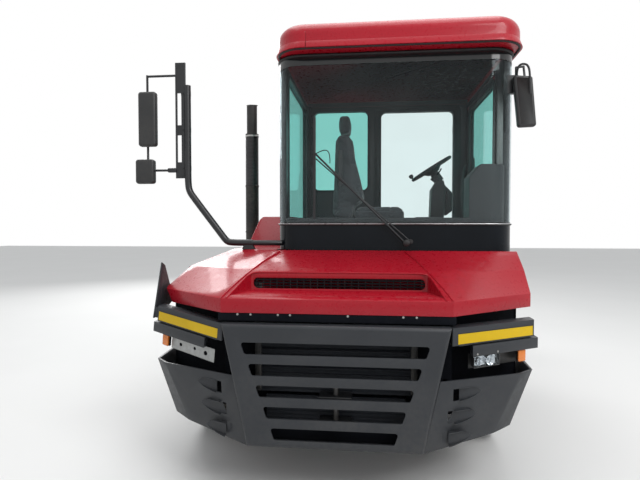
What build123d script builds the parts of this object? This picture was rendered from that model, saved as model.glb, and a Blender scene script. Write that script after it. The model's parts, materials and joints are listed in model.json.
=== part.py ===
from build123d import *
import os
from math import cos, hypot, radians, sin

# Terminal tractor, millimetres. +Z is up and the front faces -Y, so +X is the vehicle's left.
# The origin is on the ground, on the centre plane, under the rear axle.

# Main dimensions
wheelbase = 3200
front_overhang = 1350
rear_overhang = 1250
body_half = 1250
cab_front = 830
cab_rear = 2500
front_axle_y = -wheelbase
bumper_y = front_axle_y - front_overhang

# Wheels
tyre_diameter = 1076
tyre_width = 312
bead_radius = 289
rim_gap = 0.3
rim_wall = 9
rim_width = 228
front_wheel_x = 1050
twin_inner_x = 735
twin_outer_x = 1085
axle_z = tyre_diameter / 2
spindle_radius = 45
rear_spindle_radius = 60
running_fit = 0.05

# Steering
kingpin_x = 860
kingpin_radius = 25
eye_radius = 60
eye_half = 80
steering_arm = 240
track_rod_z = 436
track_rod_radius = 22
ball_radius = 14

# Frame
rail_outer = 430
rail_flange = 80
rail_wall = 9
rail_bottom = 620
rail_top = 900
rail_front = bumper_y + 220

# Front bumper
grille_top = 1092
grille_bottom = 365
grille_top_half = 670
grille_bottom_half = 516
grille_depth = 105
grille_wall = 12
slot_count = 5
slot_pitch = 125.5
slot_height = 70
slot_top = 987
slot_top_half = 550
slot_side_slope = 0.35
wing_bottom = 986
wing_inner_x = 692
wing_outer_x = 1222
wing_sweep = 312
wing_depth = 95
wing_bend = 5
wing_gap = 6
bent_wing_gap = 16
fin_stand = 26
stripe_bottom = 993
stripe_top = 1051
stripe_thickness = 2
lamp_bar_bottom = 912
lamp_bar_top = 976
lamp_bottom = 838
bend_height = 937
corner_top = 778
corner_bottom = 345
corner_rear = bumper_y + 680
corner_wall = 12
beam_plate = 15
post_x = (640, 700)

# Hood
hood_bottom = 1150
hood_band = 1235
hood_top = 1488
hood_shoulder = 1375
hood_wall = 8
hood_gap = 8
hood_front_y = bumper_y + 57
scoop_floor = 1250
scoop_rear = bumper_y + 370
scoop_half = 572

# Cab
cab_right = -500
cab_left = 1250
cab_corner = 190
cab_floor_bottom = 1200
cab_floor_top = 1250
black_panel_top = 1680
door_top = 2905
wall_top = door_top + 35
cab_wall = 45
glass_wall = 8
glass_seal = 0.3
windscreen_back = 1050
door_gap = 6

# Roof
roof_top = wall_top + 200
roof_right = cab_right + 14
roof_left = cab_left + 25
roof_rear_overhang = 25
roof_front_overhang = 125
roof_shell = 70
roof_lip = 18
roof_lip_height = 48
roof_corner = 215
roof_seam_x = -255
headliner_top = roof_top - 92
headliner_thickness = 18

# Right-hand side
battery_top = 1000
cowl_top = 1757
stack_top = 2916

# Boom and fifth wheel
boom_pivot = (-1750, 985)
boom_pin_radius = 30
boom_inner = 300
boom_outer = 380
boom_bottom = 920
boom_top = 1030
boom_rear_y = -170
fifth_y = -300
fifth_pin_z = 1060
fifth_top = 1150
fifth_plate = 40
jaw_radius = 25.4
lift_eye = (-1275, 980)
barrel_eye = (-1415, 675)
cylinder_x = 200
lift_pin_radius = 20
rod_eye_play = 2.4
barrel_pin_radius = 25

y_cab = bumper_y + cab_front
y_back = bumper_y + cab_rear
y_glass = bumper_y + windscreen_back
hood_rear = y_back - 900
step_front = front_axle_y + 660
step_rear = step_front + 440


def box(x, y, z):
    """A block between three pairs of coordinates."""
    size = Box(x[1] - x[0], y[1] - y[0], z[1] - z[0])
    return Pos((x[0] + x[1]) / 2, (y[0] + y[1]) / 2, (z[0] + z[1]) / 2) * size


def flat(points):
    """A flat face through points in space."""
    return Face(Wire.make_polygon([Vector(*p) for p in points], close=True))


def prism_z(points, z0, z1):
    """A plan outline raised from z0 to z1."""
    return Solid.extrude(flat([(x, y, z0) for x, y in points]), Vector(0, 0, z1 - z0))


def prism_y(points, y0, y1):
    """A front-view outline, as x and z, carried from y0 to y1."""
    return Solid.extrude(flat([(x, y0, z) for x, z in points]), Vector(0, y1 - y0, 0))


def prism_x(points, x0, x1):
    """A side-view outline, as y and z, carried from x0 to x1."""
    return Solid.extrude(flat([(x0, y, z) for y, z in points]), Vector(x1 - x0, 0, 0))


def rod_x(radius, x0, x1, y, z):
    return Pos((x0 + x1) / 2, y, z) * Rot(0, 90, 0) * Cylinder(radius, abs(x1 - x0))


def rod_y(radius, y0, y1, x, z):
    return Pos(x, (y0 + y1) / 2, z) * Rot(90, 0, 0) * Cylinder(radius, abs(y1 - y0))


def rod_z(radius, z0, z1, x, y):
    return Pos(x, y, (z0 + z1) / 2) * Cylinder(radius, abs(z1 - z0))


def rod_between(radius, start, end):
    """A round bar between two points."""
    line = Vector(*end) - Vector(*start)
    return Plane(origin=start, z_dir=line) * Cylinder(
        radius, line.length, align=(Align.CENTER, Align.CENTER, Align.MIN)
    )


def turned_x(points, y, z):
    """A section of (x, radius) points turned about the X line through y and z."""
    section = flat([(x, y, z + r) for x, r in points])
    return revolve(section, Axis((0, y, z), (1, 0, 0)))


def inset(points, distance):
    """A closed outline moved inwards by a distance; points run anticlockwise."""
    lines = []
    for (x0, y0), (x1, y1) in zip(points, points[1:] + points[:1]):
        length = hypot(x1 - x0, y1 - y0)
        ux = (x1 - x0) / length
        uy = (y1 - y0) / length
        lines.append((x0 - uy * distance, y0 + ux * distance, ux, uy))
    result = []
    for (ax, ay, au, av), (bx, by, bu, bv) in zip(lines[-1:] + lines[:-1], lines):
        cross = au * bv - av * bu
        step = ((bx - ax) * bv - (by - ay) * bu) / cross
        result.append((ax + au * step, ay + av * step))
    return result


def ruled(sections):
    """A body with straight sides through plan outlines, each given as (z, points)."""
    wires = [Wire.make_polygon([Vector(x, y, z) for x, y in points], close=True) for z, points in sections]
    return Solid.make_loft(wires, ruled=True)


def rounded_plan(x, y, radii, z):
    """A plan rectangle with its own radius at each corner, from front right anticlockwise."""
    corners = [(x[0], y[0]), (x[1], y[0]), (x[1], y[1]), (x[0], y[1])]
    wire = Polyline(*[(cx, cy) for cx, cy in corners], close=True)
    face = make_face(wire)
    for (cx, cy), radius in zip(corners, radii):
        if radius > 0:
            corner = face.vertices().sort_by_distance((cx, cy, 0))[0]
            face = fillet(corner, radius)
    return Pos(0, 0, z) * face


def plan_block(x, y, radii, z0, z1):
    return extrude(rounded_plan(x, y, radii, z0), z1 - z0)


def mirrored(shape):
    return shape.mirror(Plane.YZ)


def save(name, *shapes):
    solids = []
    for shape in shapes:
        solids.extend(shape.solids())
    export_step(solids[0] if len(solids) == 1 else Compound(solids), f"parts/{name}.step")


def frame_rail():
    """A channel rail on the vehicle's left, open towards the centre."""
    flange = (rail_outer - rail_flange, rail_outer)
    outer = box(flange, (rail_front, rear_overhang - 50), (rail_bottom, rail_top))
    hollow = box(
        (rail_outer - rail_flange - 1, rail_outer - rail_wall),
        (rail_front - 1, rear_overhang),
        (rail_bottom + rail_wall, rail_top - rail_wall),
    )
    return outer - hollow


def cross_members():
    """Tubes between the webs, the boom's pivot brackets and the lower cylinder pin."""
    web = rail_outer - rail_wall
    pieces = []
    for y, z, radius in ((y_back - 200, 780, 45), (-950, 780, 45), (620, 780, 45)):
        pieces.append(rod_x(radius, -web, web, y, z) - rod_x(radius - 8, -web, web, y, z))
    pin_y, pin_z = barrel_eye
    pieces.append(rod_x(barrel_pin_radius, -web, web, pin_y, pin_z))
    return pieces


def boom_bracket():
    """The left pivot bracket, standing on the rail, with its pin pointing inwards."""
    y, z = boom_pivot
    foot = rail_top
    plate_x = (boom_outer + 8, boom_outer + 40)
    cheek = box(plate_x, (y - 90, y + 90), (foot, z)) + rod_x(90, *plate_x, y, z)
    cheek -= box((0, body_half), (y - 200, y + 200), (foot - 100, foot))
    return cheek + rod_x(boom_pin_radius, boom_inner + 10, plate_x[0] + 1, y, z)


def rear_plate():
    """The rear cross plate and the lamp beam behind it."""
    y = rear_overhang - 50
    plate = box((-rail_outer, rail_outer), (y, y + 12), (rail_bottom, rail_top))
    plate -= box((-180, 180), (y - 1, y + 13), (rail_bottom + 60, rail_top - 60))
    beam = box((-1180, 1180), (y + 12, y + 62), (650, 760))
    hollow = box((-1172, 1172), (y + 20, y + 63), (658, 752))
    return plate + (beam - hollow)


def tail_lamps():
    y = rear_overhang + 12
    pieces = []
    for side in (-1, 1):
        x = sorted((side * 800, side * 1160))
        lamp = box(x, (y - 42, y + 26), (664, 746))
        pieces.append(fillet(lamp.edges().group_by(Axis.Y)[-1], 8))
    return pieces


def grille_half(z):
    share = (z - grille_bottom) / (grille_top - grille_bottom)
    return grille_bottom_half + share * (grille_top_half - grille_bottom_half)


def bumper_grille():
    """The folded front plate with its five slots, open at the back."""
    back = bumper_y + grille_depth
    outline = [
        (-grille_bottom_half, grille_bottom),
        (grille_bottom_half, grille_bottom),
        (grille_top_half, grille_top),
        (-grille_top_half, grille_top),
    ]
    shell = prism_y(outline, bumper_y, back)
    front = shell.edges().group_by(Axis.Y)[0]
    shell = fillet(front, 26)
    wall = grille_wall
    inner = [
        (-grille_half(grille_bottom + wall) + wall, grille_bottom + wall),
        (grille_half(grille_bottom + wall) - wall, grille_bottom + wall),
        (grille_half(grille_top - wall) - wall, grille_top - wall),
        (-grille_half(grille_top - wall) + wall, grille_top - wall),
    ]
    shell -= prism_y(inner, bumper_y + wall, back + 1)
    for number in range(slot_count):
        top = slot_top - number * slot_pitch
        bottom = top - slot_height
        half_top = slot_top_half - (slot_top - top) * slot_side_slope
        half_bottom = slot_top_half - (slot_top - bottom) * slot_side_slope
        slot = prism_y(
            [(-half_bottom, bottom), (half_bottom, bottom), (half_top, top), (-half_top, top)],
            bumper_y - 5,
            bumper_y + wall + 5,
        )
        slot = fillet(slot.edges().filter_by(Axis.Y), 16)
        shell -= slot
    return shell


def swept_bar(x0, x1, z0, z1, forward, depth):
    """A bar that follows the wing's sweep, its front face moved forward of the wing's."""
    slope = wing_sweep / (wing_outer_x - wing_inner_x)
    front = bumper_y + 42 - forward
    y0 = front + (x0 - wing_inner_x) * slope
    y1 = front + (x1 - wing_inner_x) * slope
    return prism_z([(x0, y0), (x1, y1), (x1, y1 + depth), (x0, y0 + depth)], z0, z1)


def wing_side_cut(shape, gap):
    """Cuts a wing parallel to the grille's side, with a gap beside it."""
    cut = prism_y(
        [(0, 0), (grille_half(0) + gap, 0), (grille_half(1300) + gap, 1300), (0, 1300)],
        bumper_y - 50,
        bumper_y + 600,
    )
    return shape - cut


def bumper_wing(gap):
    """The left wing: a swept box with a shallow stripe place and the lamp bar under it."""
    wing = swept_bar(wing_inner_x - 20, wing_outer_x, wing_bottom, grille_top - 4, 0, wing_depth)
    wing = fillet(wing.edges().filter_by(Axis.Z), 6)
    wing -= swept_bar(
        wing_inner_x + 16, wing_outer_x - 8, stripe_bottom - 1, stripe_top + 1, 0, stripe_thickness
    )
    riser = swept_bar(wing_inner_x + 30, wing_outer_x - 20, lamp_bar_top, wing_bottom, -20, 60)
    bar = swept_bar(802, body_half - 2, lamp_bar_bottom, lamp_bar_top, 8, 90)
    return wing_side_cut(wing + riser + bar, gap)


def stripe():
    return swept_bar(
        wing_inner_x + 18, wing_outer_x - 10, stripe_bottom, stripe_top, 0, stripe_thickness
    )


def lamp_box(x0, x1, z0, z1, forward, depth):
    lamp = swept_bar(x0, x1, z0, z1, forward, depth)
    return fillet(lamp.edges().filter_by(Axis.Z), 5)


def headlamp():
    return lamp_box(810, 984, lamp_bottom, lamp_bar_bottom, -4, 70)


def indicator():
    return lamp_box(1110, 1168, lamp_bottom - 6, lamp_bar_bottom, -4, 55)


def lamp_bracket():
    """The bare galvanised bracket where the right headlamp is missing."""
    plate = swept_bar(730, 1090, lamp_bottom - 8, lamp_bar_bottom, -30, 5)
    for x, z, radius in ((800, 870, 14), (890, 875, 10), (1010, 870, 12)):
        plate -= rod_y(radius, bumper_y, bumper_y + 600, x, z)
    return plate


def wing_fin():
    """The upright triangular plate on the end of the right wing."""
    x = wing_outer_x
    y = bumper_y + 42 + wing_sweep
    outline = [(y + 4, 1000), (y + 94, 1000), (y + 320, 1080), (y + 120, 1350), (y + 70, 1372)]
    plate = prism_x(outline, x + fin_stand, x + fin_stand + 9)
    foot = box((x + 0.3, x + fin_stand + 1), (y + 14, y + 84), (1002, 1070))
    return plate + foot


def bent_wing(shape):
    """The right-hand copy of a left wing piece, bent up at its outer end."""
    pivot = Pos(-wing_inner_x, 0, bend_height)
    return pivot * Rot(0, wing_bend, 0) * pivot.inverse() * mirrored(shape)


corner_plan = [
    (grille_half(corner_top) + 6, bumper_y + 40),
    (1118, bumper_y + 258),
    (1213, bumper_y + 350),
    (1236, corner_rear),
    (grille_half(corner_top) + 6, corner_rear),
]
corner_plan_low = [
    (grille_half(corner_bottom) + 6, bumper_y + 52),
    (930, bumper_y + 245),
    (1047, bumper_y + 335),
    (1090, corner_rear - 60),
    (grille_half(corner_bottom) + 6, corner_rear - 60),
]
corner_vents = ((690, 688), (660, 556), (626, 431))
vent_length = 172
vent_height = 74


def corner_body(distance, top, bottom):
    """The corner moulding's outline body; distance moves its outer walls inwards."""
    sections = []
    for z, points in ((bottom, corner_plan_low), (top, corner_plan)):
        near, front, side, back, _ = inset(points, distance) if distance else points
        first = (near[0] - 3 * distance, near[1] - 3 * distance * (front[1] - near[1]) / (front[0] - near[0]))
        back = (back[0], back[1] + 3 * distance)
        last = (first[0], back[1])
        sections.append((z, [first, front, side, back, last]))
    return ruled(sections)


vent_wall = 5
vent_depth = 46
vent_mouth = 40
corner_underside = [
    (400, 200),
    (1300, 200),
    (1300, 462),
    (1040, 422),
    (grille_half(corner_bottom), corner_bottom + 4),
    (400, corner_bottom),
]


def corner_front_y(x):
    """How far back the corner moulding's front face stands at a distance from the centre plane."""
    near, front = corner_plan[0], corner_plan[1]
    return near[1] + (front[1] - near[1]) * (x - near[0]) / (front[0] - near[0])


def vent_outline(x, z, grow):
    """A tear-drop outline, square beside the grille and pointed outwards, as a body through the face."""
    y = bumper_y - 50
    half = vent_height / 2 + grow
    low = (x - grow, y, z - half)
    high = (x - grow, y, z + half)
    shoulder = (x + 90, y, z + half)
    tip = (x + vent_length + grow, y, z + half * 0.3)
    edges = [
        Edge.make_line(low, high),
        Edge.make_line(high, shoulder),
        Edge.make_three_point_arc(shoulder, (x + 146, y, z + half * 0.84), tip),
        Edge.make_three_point_arc(tip, (x + 96, y, z - half * 0.66), low),
    ]
    return Solid.extrude(Face(Wire(edges)), Vector(0, 500, 0))


def vent_recess(x, z, grow):
    """The recess behind one vent's outline: deep beside the grille, running out to nothing outwards."""
    start = x + vent_mouth if grow else x
    end = x + vent_length + grow
    slope = vent_depth / vent_length
    plan = [
        (start, corner_front_y(start) - 40),
        (end, corner_front_y(end) - 40),
        (end, corner_front_y(end) + grow),
        (start, corner_front_y(start) + (end - start) * slope + grow),
    ]
    if grow:
        plan[0] = (start, corner_front_y(start) + 2)
        plan[1] = (end, corner_front_y(end) + 2)
    return vent_outline(x, z, grow) & prism_z(plan, z - vent_height, z + vent_height)


def corner_moulding():
    """The lower corner moulding with three louvred vents beside the grille."""
    shell = corner_body(0, corner_top, corner_bottom)
    shell -= corner_body(corner_wall, corner_top, corner_bottom)
    for x, z in corner_vents:
        shell = shell + vent_recess(x, z, vent_wall) - vent_recess(x, z, 0)
    return shell - prism_y(corner_underside, bumper_y - 5, corner_rear + 5)


def wing_back_cut():
    """The space in front of the left wing's back face, with the seating gap."""
    return swept_bar(600, 1260, wing_bottom - 40, grille_top + 40, 200, wing_depth + 200 + rim_gap)


def wing_arm():
    """The arm from the left post to the back of the left wing."""
    return box((post_x[0], 760), (rail_front - 90, rail_front), (990, 1060))


def front_beam():
    """The cross plate on the rails' front ends, with its posts, arms and the hood's rest."""
    back = rail_front
    front = rail_front - beam_plate
    plate = box((-600, 600), (front, back), (rail_bottom, rail_top - 60))
    reach = None
    for side in (-1, 1):
        plate += box(sorted((side * 556, side * 600)), (bumper_y + grille_depth, front), (640, 780))
        piece = box(sorted((side * 595, side * 1000)), (front, back + 45), (650, 730))
        reach = piece if reach is None else reach + piece
        post = sorted((side * post_x[0], side * post_x[1]))
        plate += box(post, (front, back), (rail_bottom + 20, hood_bottom))
    plate += box((-post_x[1], post_x[1]), (front, back), (rail_bottom + 20, rail_top - 60))
    body = corner_body(corner_wall + rim_gap, corner_top, corner_bottom)
    moulding = corner_moulding()
    plate += ((reach & body) - moulding) + ((reach & mirrored(body)) - mirrored(moulding))
    plate += wing_arm() - wing_back_cut()
    plate += mirrored(wing_arm()) - bent_wing(wing_back_cut())
    rest_y = (hood_front_y + hood_wall / 2, back)
    return plate + box((-post_x[1], post_x[1]), rest_y, (grille_top + 8, hood_bottom))


def radiator():
    """The cooler pack behind the slots."""
    y = rail_front - 15
    core = box((-480, 480), (y - 72, y), (660, 1040)) - box((-450, 450), (y - 73, y - 60), (690, 1010))
    lower = box((-420, 420), (y - 72, y), (440, 640))
    return core, lower


hood_tuck = (80, 112)


def hood_outlines():
    """The hood's plan outlines at its band, shoulder and top, in the same order of corners."""
    cab_edge = y_cab - hood_gap
    side = cab_right - hood_gap
    band = [
        (-1211, bumper_y + 471),
        (-683, hood_front_y),
        (683, hood_front_y),
        (1236, bumper_y + 471),
        (1243, cab_edge),
        (side, cab_edge),
        (side, hood_rear),
        (-1211, hood_rear),
    ]
    shoulder = [
        (-1118, bumper_y + 735),
        (-575, bumper_y + 400),
        (575, bumper_y + 400),
        (1236, bumper_y + 610),
        (1243, cab_edge),
        (side, cab_edge),
        (side, hood_rear),
        (-1118, hood_rear),
    ]
    top = [
        (-860, bumper_y + 960),
        (-470, bumper_y + 790),
        (470, bumper_y + 790),
        (1226, bumper_y + 740),
        (1243, cab_edge),
        (side, cab_edge),
        (side, hood_rear),
        (-860, hood_rear),
    ]
    return band, shoulder, top


def hood_body(wall):
    """The hood's outline body; a wall moves all its faces inwards, and its foot down."""
    band, shoulder, top = [inset(plan, wall) if wall else plan for plan in hood_outlines()]
    foot = hood_bottom - 3 * wall
    heights = (foot, hood_band - wall / 2, hood_shoulder - wall, hood_top - wall)
    body = ruled(list(zip(heights, (band, band, shoulder, top))))
    shift = wall * hypot(*hood_tuck) / hood_tuck[1]
    low = (-1133 + shift, hood_bottom)
    body -= prism_y(
        [
            (-1400, foot - 10),
            (low[0] + hood_tuck[0] * (hood_bottom - foot + 10) / hood_tuck[1], foot - 10),
            (low[0] - hood_tuck[0], hood_bottom + hood_tuck[1]),
            (-1400, hood_bottom + hood_tuck[1]),
        ],
        bumper_y,
        hood_rear + 10,
    )
    floor = scoop_floor - wall
    rear = scoop_rear + wall
    half = scoop_half + wall
    front = bumper_y - 20
    scoop = prism_z([(-half - 95, front), (half + 95, front), (half, rear), (-half, rear)], floor, hood_top)
    return body - scoop


def cab_outline(grow, z0, z1):
    """The cab's plan body, grown outwards all round."""
    corner = cab_corner + grow
    return plan_block(
        (cab_right - grow, cab_left + grow),
        (y_cab - grow, y_back + grow),
        (corner, corner, 40 + grow, 40 + grow),
        z0,
        z1,
    )


def hood():
    shell = hood_body(0) - hood_body(hood_wall)
    shell = shell.solids().sort_by(SortBy.VOLUME)[-1]
    slot = box(
        (-scoop_half + 15, scoop_half - 15),
        (scoop_rear - 2, scoop_rear + hood_wall + 2),
        (scoop_floor + 8, scoop_floor + 78),
    )
    slot = fillet(slot.edges().filter_by(Axis.Y), 30)
    return shell - slot


def hood_grille():
    """The dark bars behind the hood's slot."""
    y = scoop_rear + hood_wall
    frame = box((-scoop_half + 4, scoop_half - 4), (y + 0.3, y + 18), (scoop_floor, scoop_floor + 82))
    frame -= box((-scoop_half + 16, scoop_half - 16), (y, y + 19), (scoop_floor + 9, scoop_floor + 73))
    for number in range(3):
        z = scoop_floor + 22 + number * 19
        frame += box((-scoop_half + 8, scoop_half - 8), (y + 2, y + 16), (z, z + 8))
    return frame


def rear_cowl():
    """The red cover beside the cab, rising to the rear."""
    x0 = cab_right - 15
    start = hood_rear + 8
    foot_z = hood_bottom + 20
    outline = [(x0, foot_z), (-1008, foot_z), (-850, cowl_top - 30), (-820, cowl_top), (x0, cowl_top)]
    body = prism_y(outline, start, y_back - 370)
    body = fillet(body.edges().filter_by(Axis.Y).sort_by(Axis.Z)[-3:-1], 30)
    slope = prism_x([(start - 60, cowl_top + 60), (start, hood_top), (start + 250, cowl_top + 60)], -1100, 0)
    foot = box((-880, -560), (y_back - 480, y_back - 380), (battery_top + 0.3, hood_bottom + 21))
    return (body - slope) + foot


engine_front = bumper_y + 600
gearbox_front = engine_front + 1050
gearbox_rear = gearbox_front + 550


def engine():
    """The engine and gearbox as one plain block in its real place."""
    block = box((-320, 320), (engine_front, gearbox_front), (560, 1080))
    gearbox = box((-190, 190), (gearbox_front - 1, gearbox_rear), (560, 880))
    mounts = box((-350 - 71, 350 + 71), (engine_front + 450, engine_front + 550), (700, 760))
    return block + gearbox + mounts


def propeller_shaft():
    return rod_between(38, (0, gearbox_rear + 0.3, 600), (0, -215, 566))


def exhaust():
    """The stack: silencer, perforated guard and end pipe on one line."""
    x = -1020
    y = y_back - 300
    guard_top = stack_top - 316
    low = rod_z(67, battery_top + 100, guard_top - 510, x, y)
    guard = rod_z(62, guard_top - 510, guard_top, x, y)
    clamp = rod_z(68, guard_top - 4, guard_top + 22, x, y)
    pipe = rod_z(53, guard_top, stack_top, x, y)
    pipe -= rod_z(47, guard_top + 100, stack_top + 1, x, y)
    cap = Pos(x, y + 10, stack_top + 6) * Rot(8, 0, 0) * Cylinder(58, 5)
    foot = box((x - 90, x + 90), (y - 90, y + 90), (battery_top, battery_top + 101))
    hinge = box((x - 10, x + 10), (y + 45, y + 66), (stack_top - 26, stack_top + 9))
    return low + guard + clamp + pipe + foot + cap + hinge


def battery_box():
    """The right-hand box behind the front wheel: batteries, air tanks and the stack's seat."""
    body = box((-1200, -rail_outer - 0.3), (step_front, y_back + 150), (580, battery_top))
    body = fillet(body.edges().filter_by(Axis.Y), 25)
    step = box((-1200, -1010), (step_front - 1, y_back + 151), (700, 730))
    return body - step


def fuel_tank():
    body = box((rail_outer + 0.3, 1130), (y_back + 50, y_back + 1050), (500, 890))
    body = fillet(body.edges().filter_by(Axis.Y), 70)
    neck = rod_between(35, (1000, y_back + 800, 860), (1090, y_back + 800, 960))
    return body + neck


def cab_steps():
    """The left steps under the door, hung from the rail and the cab floor."""
    sides = []
    for y in (step_front, step_rear - 8):
        sides.append(box((700, 1200), (y, y + 8), (380, cab_floor_bottom)))
    frame = sides[0] + sides[1]
    for z, x0 in ((390, 960), (700, 880), (1000, 800)):
        frame += box((x0, 1198), (step_front + 7, step_rear - 7), (z, z + 30))
    frame += box((rail_outer, 705), (step_front, step_front + 40), (720, 780))
    frame += box((rail_outer, 705), (step_rear - 40, step_rear), (720, 780))
    return frame


def fender(inner, outer, x0, x1, y, start, end):
    """A curved mudguard about a wheel centre, between two angles from the rear."""
    ring = rod_x(outer, x0, x1, y, axle_z) - rod_x(inner, x0, x1, y, axle_z)
    reach = 2 * outer
    wedge = [(y, axle_z)]
    for step in range(5):
        angle = radians(start + (end - start) * step / 4)
        wedge.append((y + reach * cos(angle), axle_z + reach * sin(angle)))
    return ring & prism_x(wedge, x0, x1)


def front_fender():
    guard = fender(638, 644, 870, 1195, front_axle_y, 25, 155)
    leg = box((rail_outer, 872), (front_axle_y + 505, front_axle_y + 545), (880, 920))
    top = box((868, 876), (front_axle_y + 400, front_axle_y + 545), (880, 960))
    ring = rod_x(638, 860, 900, front_axle_y, axle_z)
    return guard + ((leg + top) - ring)


def front_fender_right():
    """The right guard, narrowed where it passes under the hood's tucked foot."""
    tuck = box((-body_half, -1118), (front_axle_y - 400, front_axle_y + 400), (hood_bottom - 12, hood_top))
    return mirrored(front_fender()) - tuck


def rear_fender():
    guard = fender(606, 612, 600, 1235, 0, 95, 160)
    leg = box((rail_outer, 640), (-480, -430), (860, 985))
    return guard + (leg - rod_x(606, 570, 700, 0, axle_z))


def deck():
    """The walkway behind the cab on its two stringers."""
    y = (y_back + 50, y_back + 190)
    plate = box((-700, 1200), y, (1040, 1052))
    for x in (-400, 388):
        plate += box((x, x + 12), y, (rail_top, 1041))
    return plate


def cab_mounts():
    """Two cross beams with legs on the rails, under the cab floor."""
    pieces = None
    for y in (y_cab + 80, y_back - 190):
        beam = box((-460, 1120), (y, y + 90), (1100, cab_floor_bottom))
        beam -= box((-470, 1130), (y + 8, y + 82), (1108, cab_floor_bottom - 8))
        for x in (-425, 355):
            beam += box((x, x + 70), (y, y + 90), (rail_top, 1101))
        pieces = beam if pieces is None else pieces + beam
    return pieces


def cab_floor():
    return cab_outline(0, cab_floor_bottom, cab_floor_top)


def cab_ring(z0, z1, wall):
    return cab_outline(0, z0, z1) - cab_outline(-wall, z0 - 1, z1 + 1)


def front_part(shape, back, z0, z1):
    return shape & box((cab_right - 5, cab_left + 5), (y_cab - 5, back), (z0, z1))


def cab_front_panel():
    """The black wrap-round panel between the floor and the windscreen."""
    return front_part(
        cab_ring(cab_floor_top, black_panel_top, cab_wall), y_glass, cab_floor_top, black_panel_top
    )


def windscreen():
    """The wrap-round glass, as one curved pane."""
    return front_part(cab_ring(black_panel_top, wall_top, glass_wall), y_glass, black_panel_top, wall_top)


door_front = bumper_y + 1270
door_back = y_back - 90
door_bottom = cab_floor_top + 6
sill_window = 1560
rear_door_x = (262, 1130)
rear_window_x = (-398, 180)
rear_window_z = (2050, door_top - 12)
side_window = ((y_glass + 120, y_back - 160), (1700, door_top - 15))
hinge_heights = (door_bottom + 244, door_top - 220)
rear_door_rail = 28


def rounded_hole_x(y, z, x0, x1, radius):
    hole = box((x0, x1), y, z)
    return fillet(hole.edges().filter_by(Axis.X), radius)


def rounded_hole_y(x, z, y0, y1, radius):
    hole = box(x, (y0, y1), z)
    return fillet(hole.edges().filter_by(Axis.Y), radius)


def cab_side_left():
    """The left side: front post, sill over the floor, rear post and header round the door."""
    wall = cab_ring(cab_floor_top, wall_top, cab_wall)
    wall &= box((cab_left - 60, cab_left + 5), (y_glass, y_back - cab_wall), (cab_floor_top, wall_top))
    opening = box(
        (cab_left - 70, cab_left + 6),
        (door_front - door_gap, door_back + door_gap),
        (cab_floor_top - 1, door_top + door_gap),
    )
    wall -= opening
    lugs = None
    for z in hinge_heights:
        pin = rod_z(8, z - 45, z + 45, cab_left + 16, door_front - door_gap)
        lug = box((cab_left - 4, cab_left + 24), (door_front - 42, door_front - 27), (z - 60, z + 60))
        for end in (-60, 42):
            ear_y = (door_front - 42, door_front + 4)
            lug += box((cab_left + 5, cab_left + 24), ear_y, (z + end, z + end + 18))
        piece = lug + pin
        lugs = piece if lugs is None else lugs + piece
    return wall + lugs


def door_left():
    """The left door with its window cut and its two hinge sleeves."""
    y = (door_front, door_back)
    panel = box((cab_left - cab_wall, cab_left), y, (door_bottom, door_top))
    hole_y = (y[0] + 70, y[1] - 70)
    panel -= rounded_hole_x(hole_y, (sill_window, door_top - 70), cab_left - 60, cab_left + 5, 60)
    for z in hinge_heights:
        sleeve = rod_z(15, z - 34, z + 34, cab_left + 16, door_front - door_gap)
        leaf = box((cab_left - 2, cab_left + 12), (door_front - 4, door_front + 60), (z - 34, z + 34))
        pin = rod_z(8 + running_fit, z - 40, z + 40, cab_left + 16, door_front - door_gap)
        panel = panel + ((sleeve + leaf) - pin)
    return panel


def pane_x(y, z, x, radius):
    """A flat pane across X with its corners rounded, fitted in its hole with a seal gap."""
    gap = glass_seal
    return rounded_hole_x((y[0] + gap, y[1] - gap), (z[0] + gap, z[1] - gap), x, x + glass_wall, radius)


def pane_y(x, z, y, radius):
    gap = glass_seal
    return rounded_hole_y((x[0] + gap, x[1] - gap), (z[0] + gap, z[1] - gap), y, y + glass_wall, radius)


def cab_side_right():
    wall = cab_ring(cab_floor_top, wall_top, cab_wall)
    wall &= box((cab_right - 5, cab_right + 60), (y_glass, y_back - cab_wall), (cab_floor_top, wall_top))
    return wall - rounded_hole_x(side_window[0], side_window[1], cab_right - 5, cab_right + 60, 60)


def cab_rear_wall():
    """The rear wall with its window and the rear door's opening and hinge pins."""
    wall = cab_ring(cab_floor_top, wall_top, cab_wall)
    wall &= box((cab_right - 5, cab_left + 5), (y_back - cab_wall, y_back + 5), (cab_floor_top, wall_top))
    wall -= rounded_hole_y(rear_window_x, rear_window_z, y_back - 60, y_back + 5, 60)
    wall -= box(
        (rear_door_x[0] - door_gap, rear_door_x[1] + door_gap),
        (y_back - 60, y_back + 6),
        (cab_floor_top - 1, door_top + door_gap),
    )
    for z in hinge_heights:
        x = rear_door_x[1] + door_gap
        pin = rod_z(8, z - 45, z + 45, x, y_back + 16)
        lug = box((x + 21, x + 36), (y_back - 4, y_back + 24), (z - 60, z + 60))
        for end in (-60, 42):
            lug += box((x - 10, x + 36), (y_back + 5, y_back + 24), (z + end, z + end + 18))
        wall = wall + (lug + pin)
    return wall


def door_rear():
    """The rear door with its tall window and its two hinge sleeves."""
    panel = box(rear_door_x, (y_back - cab_wall, y_back), (door_bottom, door_top))
    hole_x = (rear_door_x[0] + 55, rear_door_x[1] - 55)
    panel -= rounded_hole_y(hole_x, (sill_window, door_top - rear_door_rail), y_back - 60, y_back + 5, 50)
    x = rear_door_x[1] + door_gap
    for z in hinge_heights:
        sleeve = rod_z(15, z - 34, z + 34, x, y_back + 16)
        leaf = box((x - 66, x - 2), (y_back - 2, y_back + 12), (z - 34, z + 34))
        pin = rod_z(8 + running_fit, z - 40, z + 40, x, y_back + 16)
        panel = panel + ((sleeve + leaf) - pin)
    return panel


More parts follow.
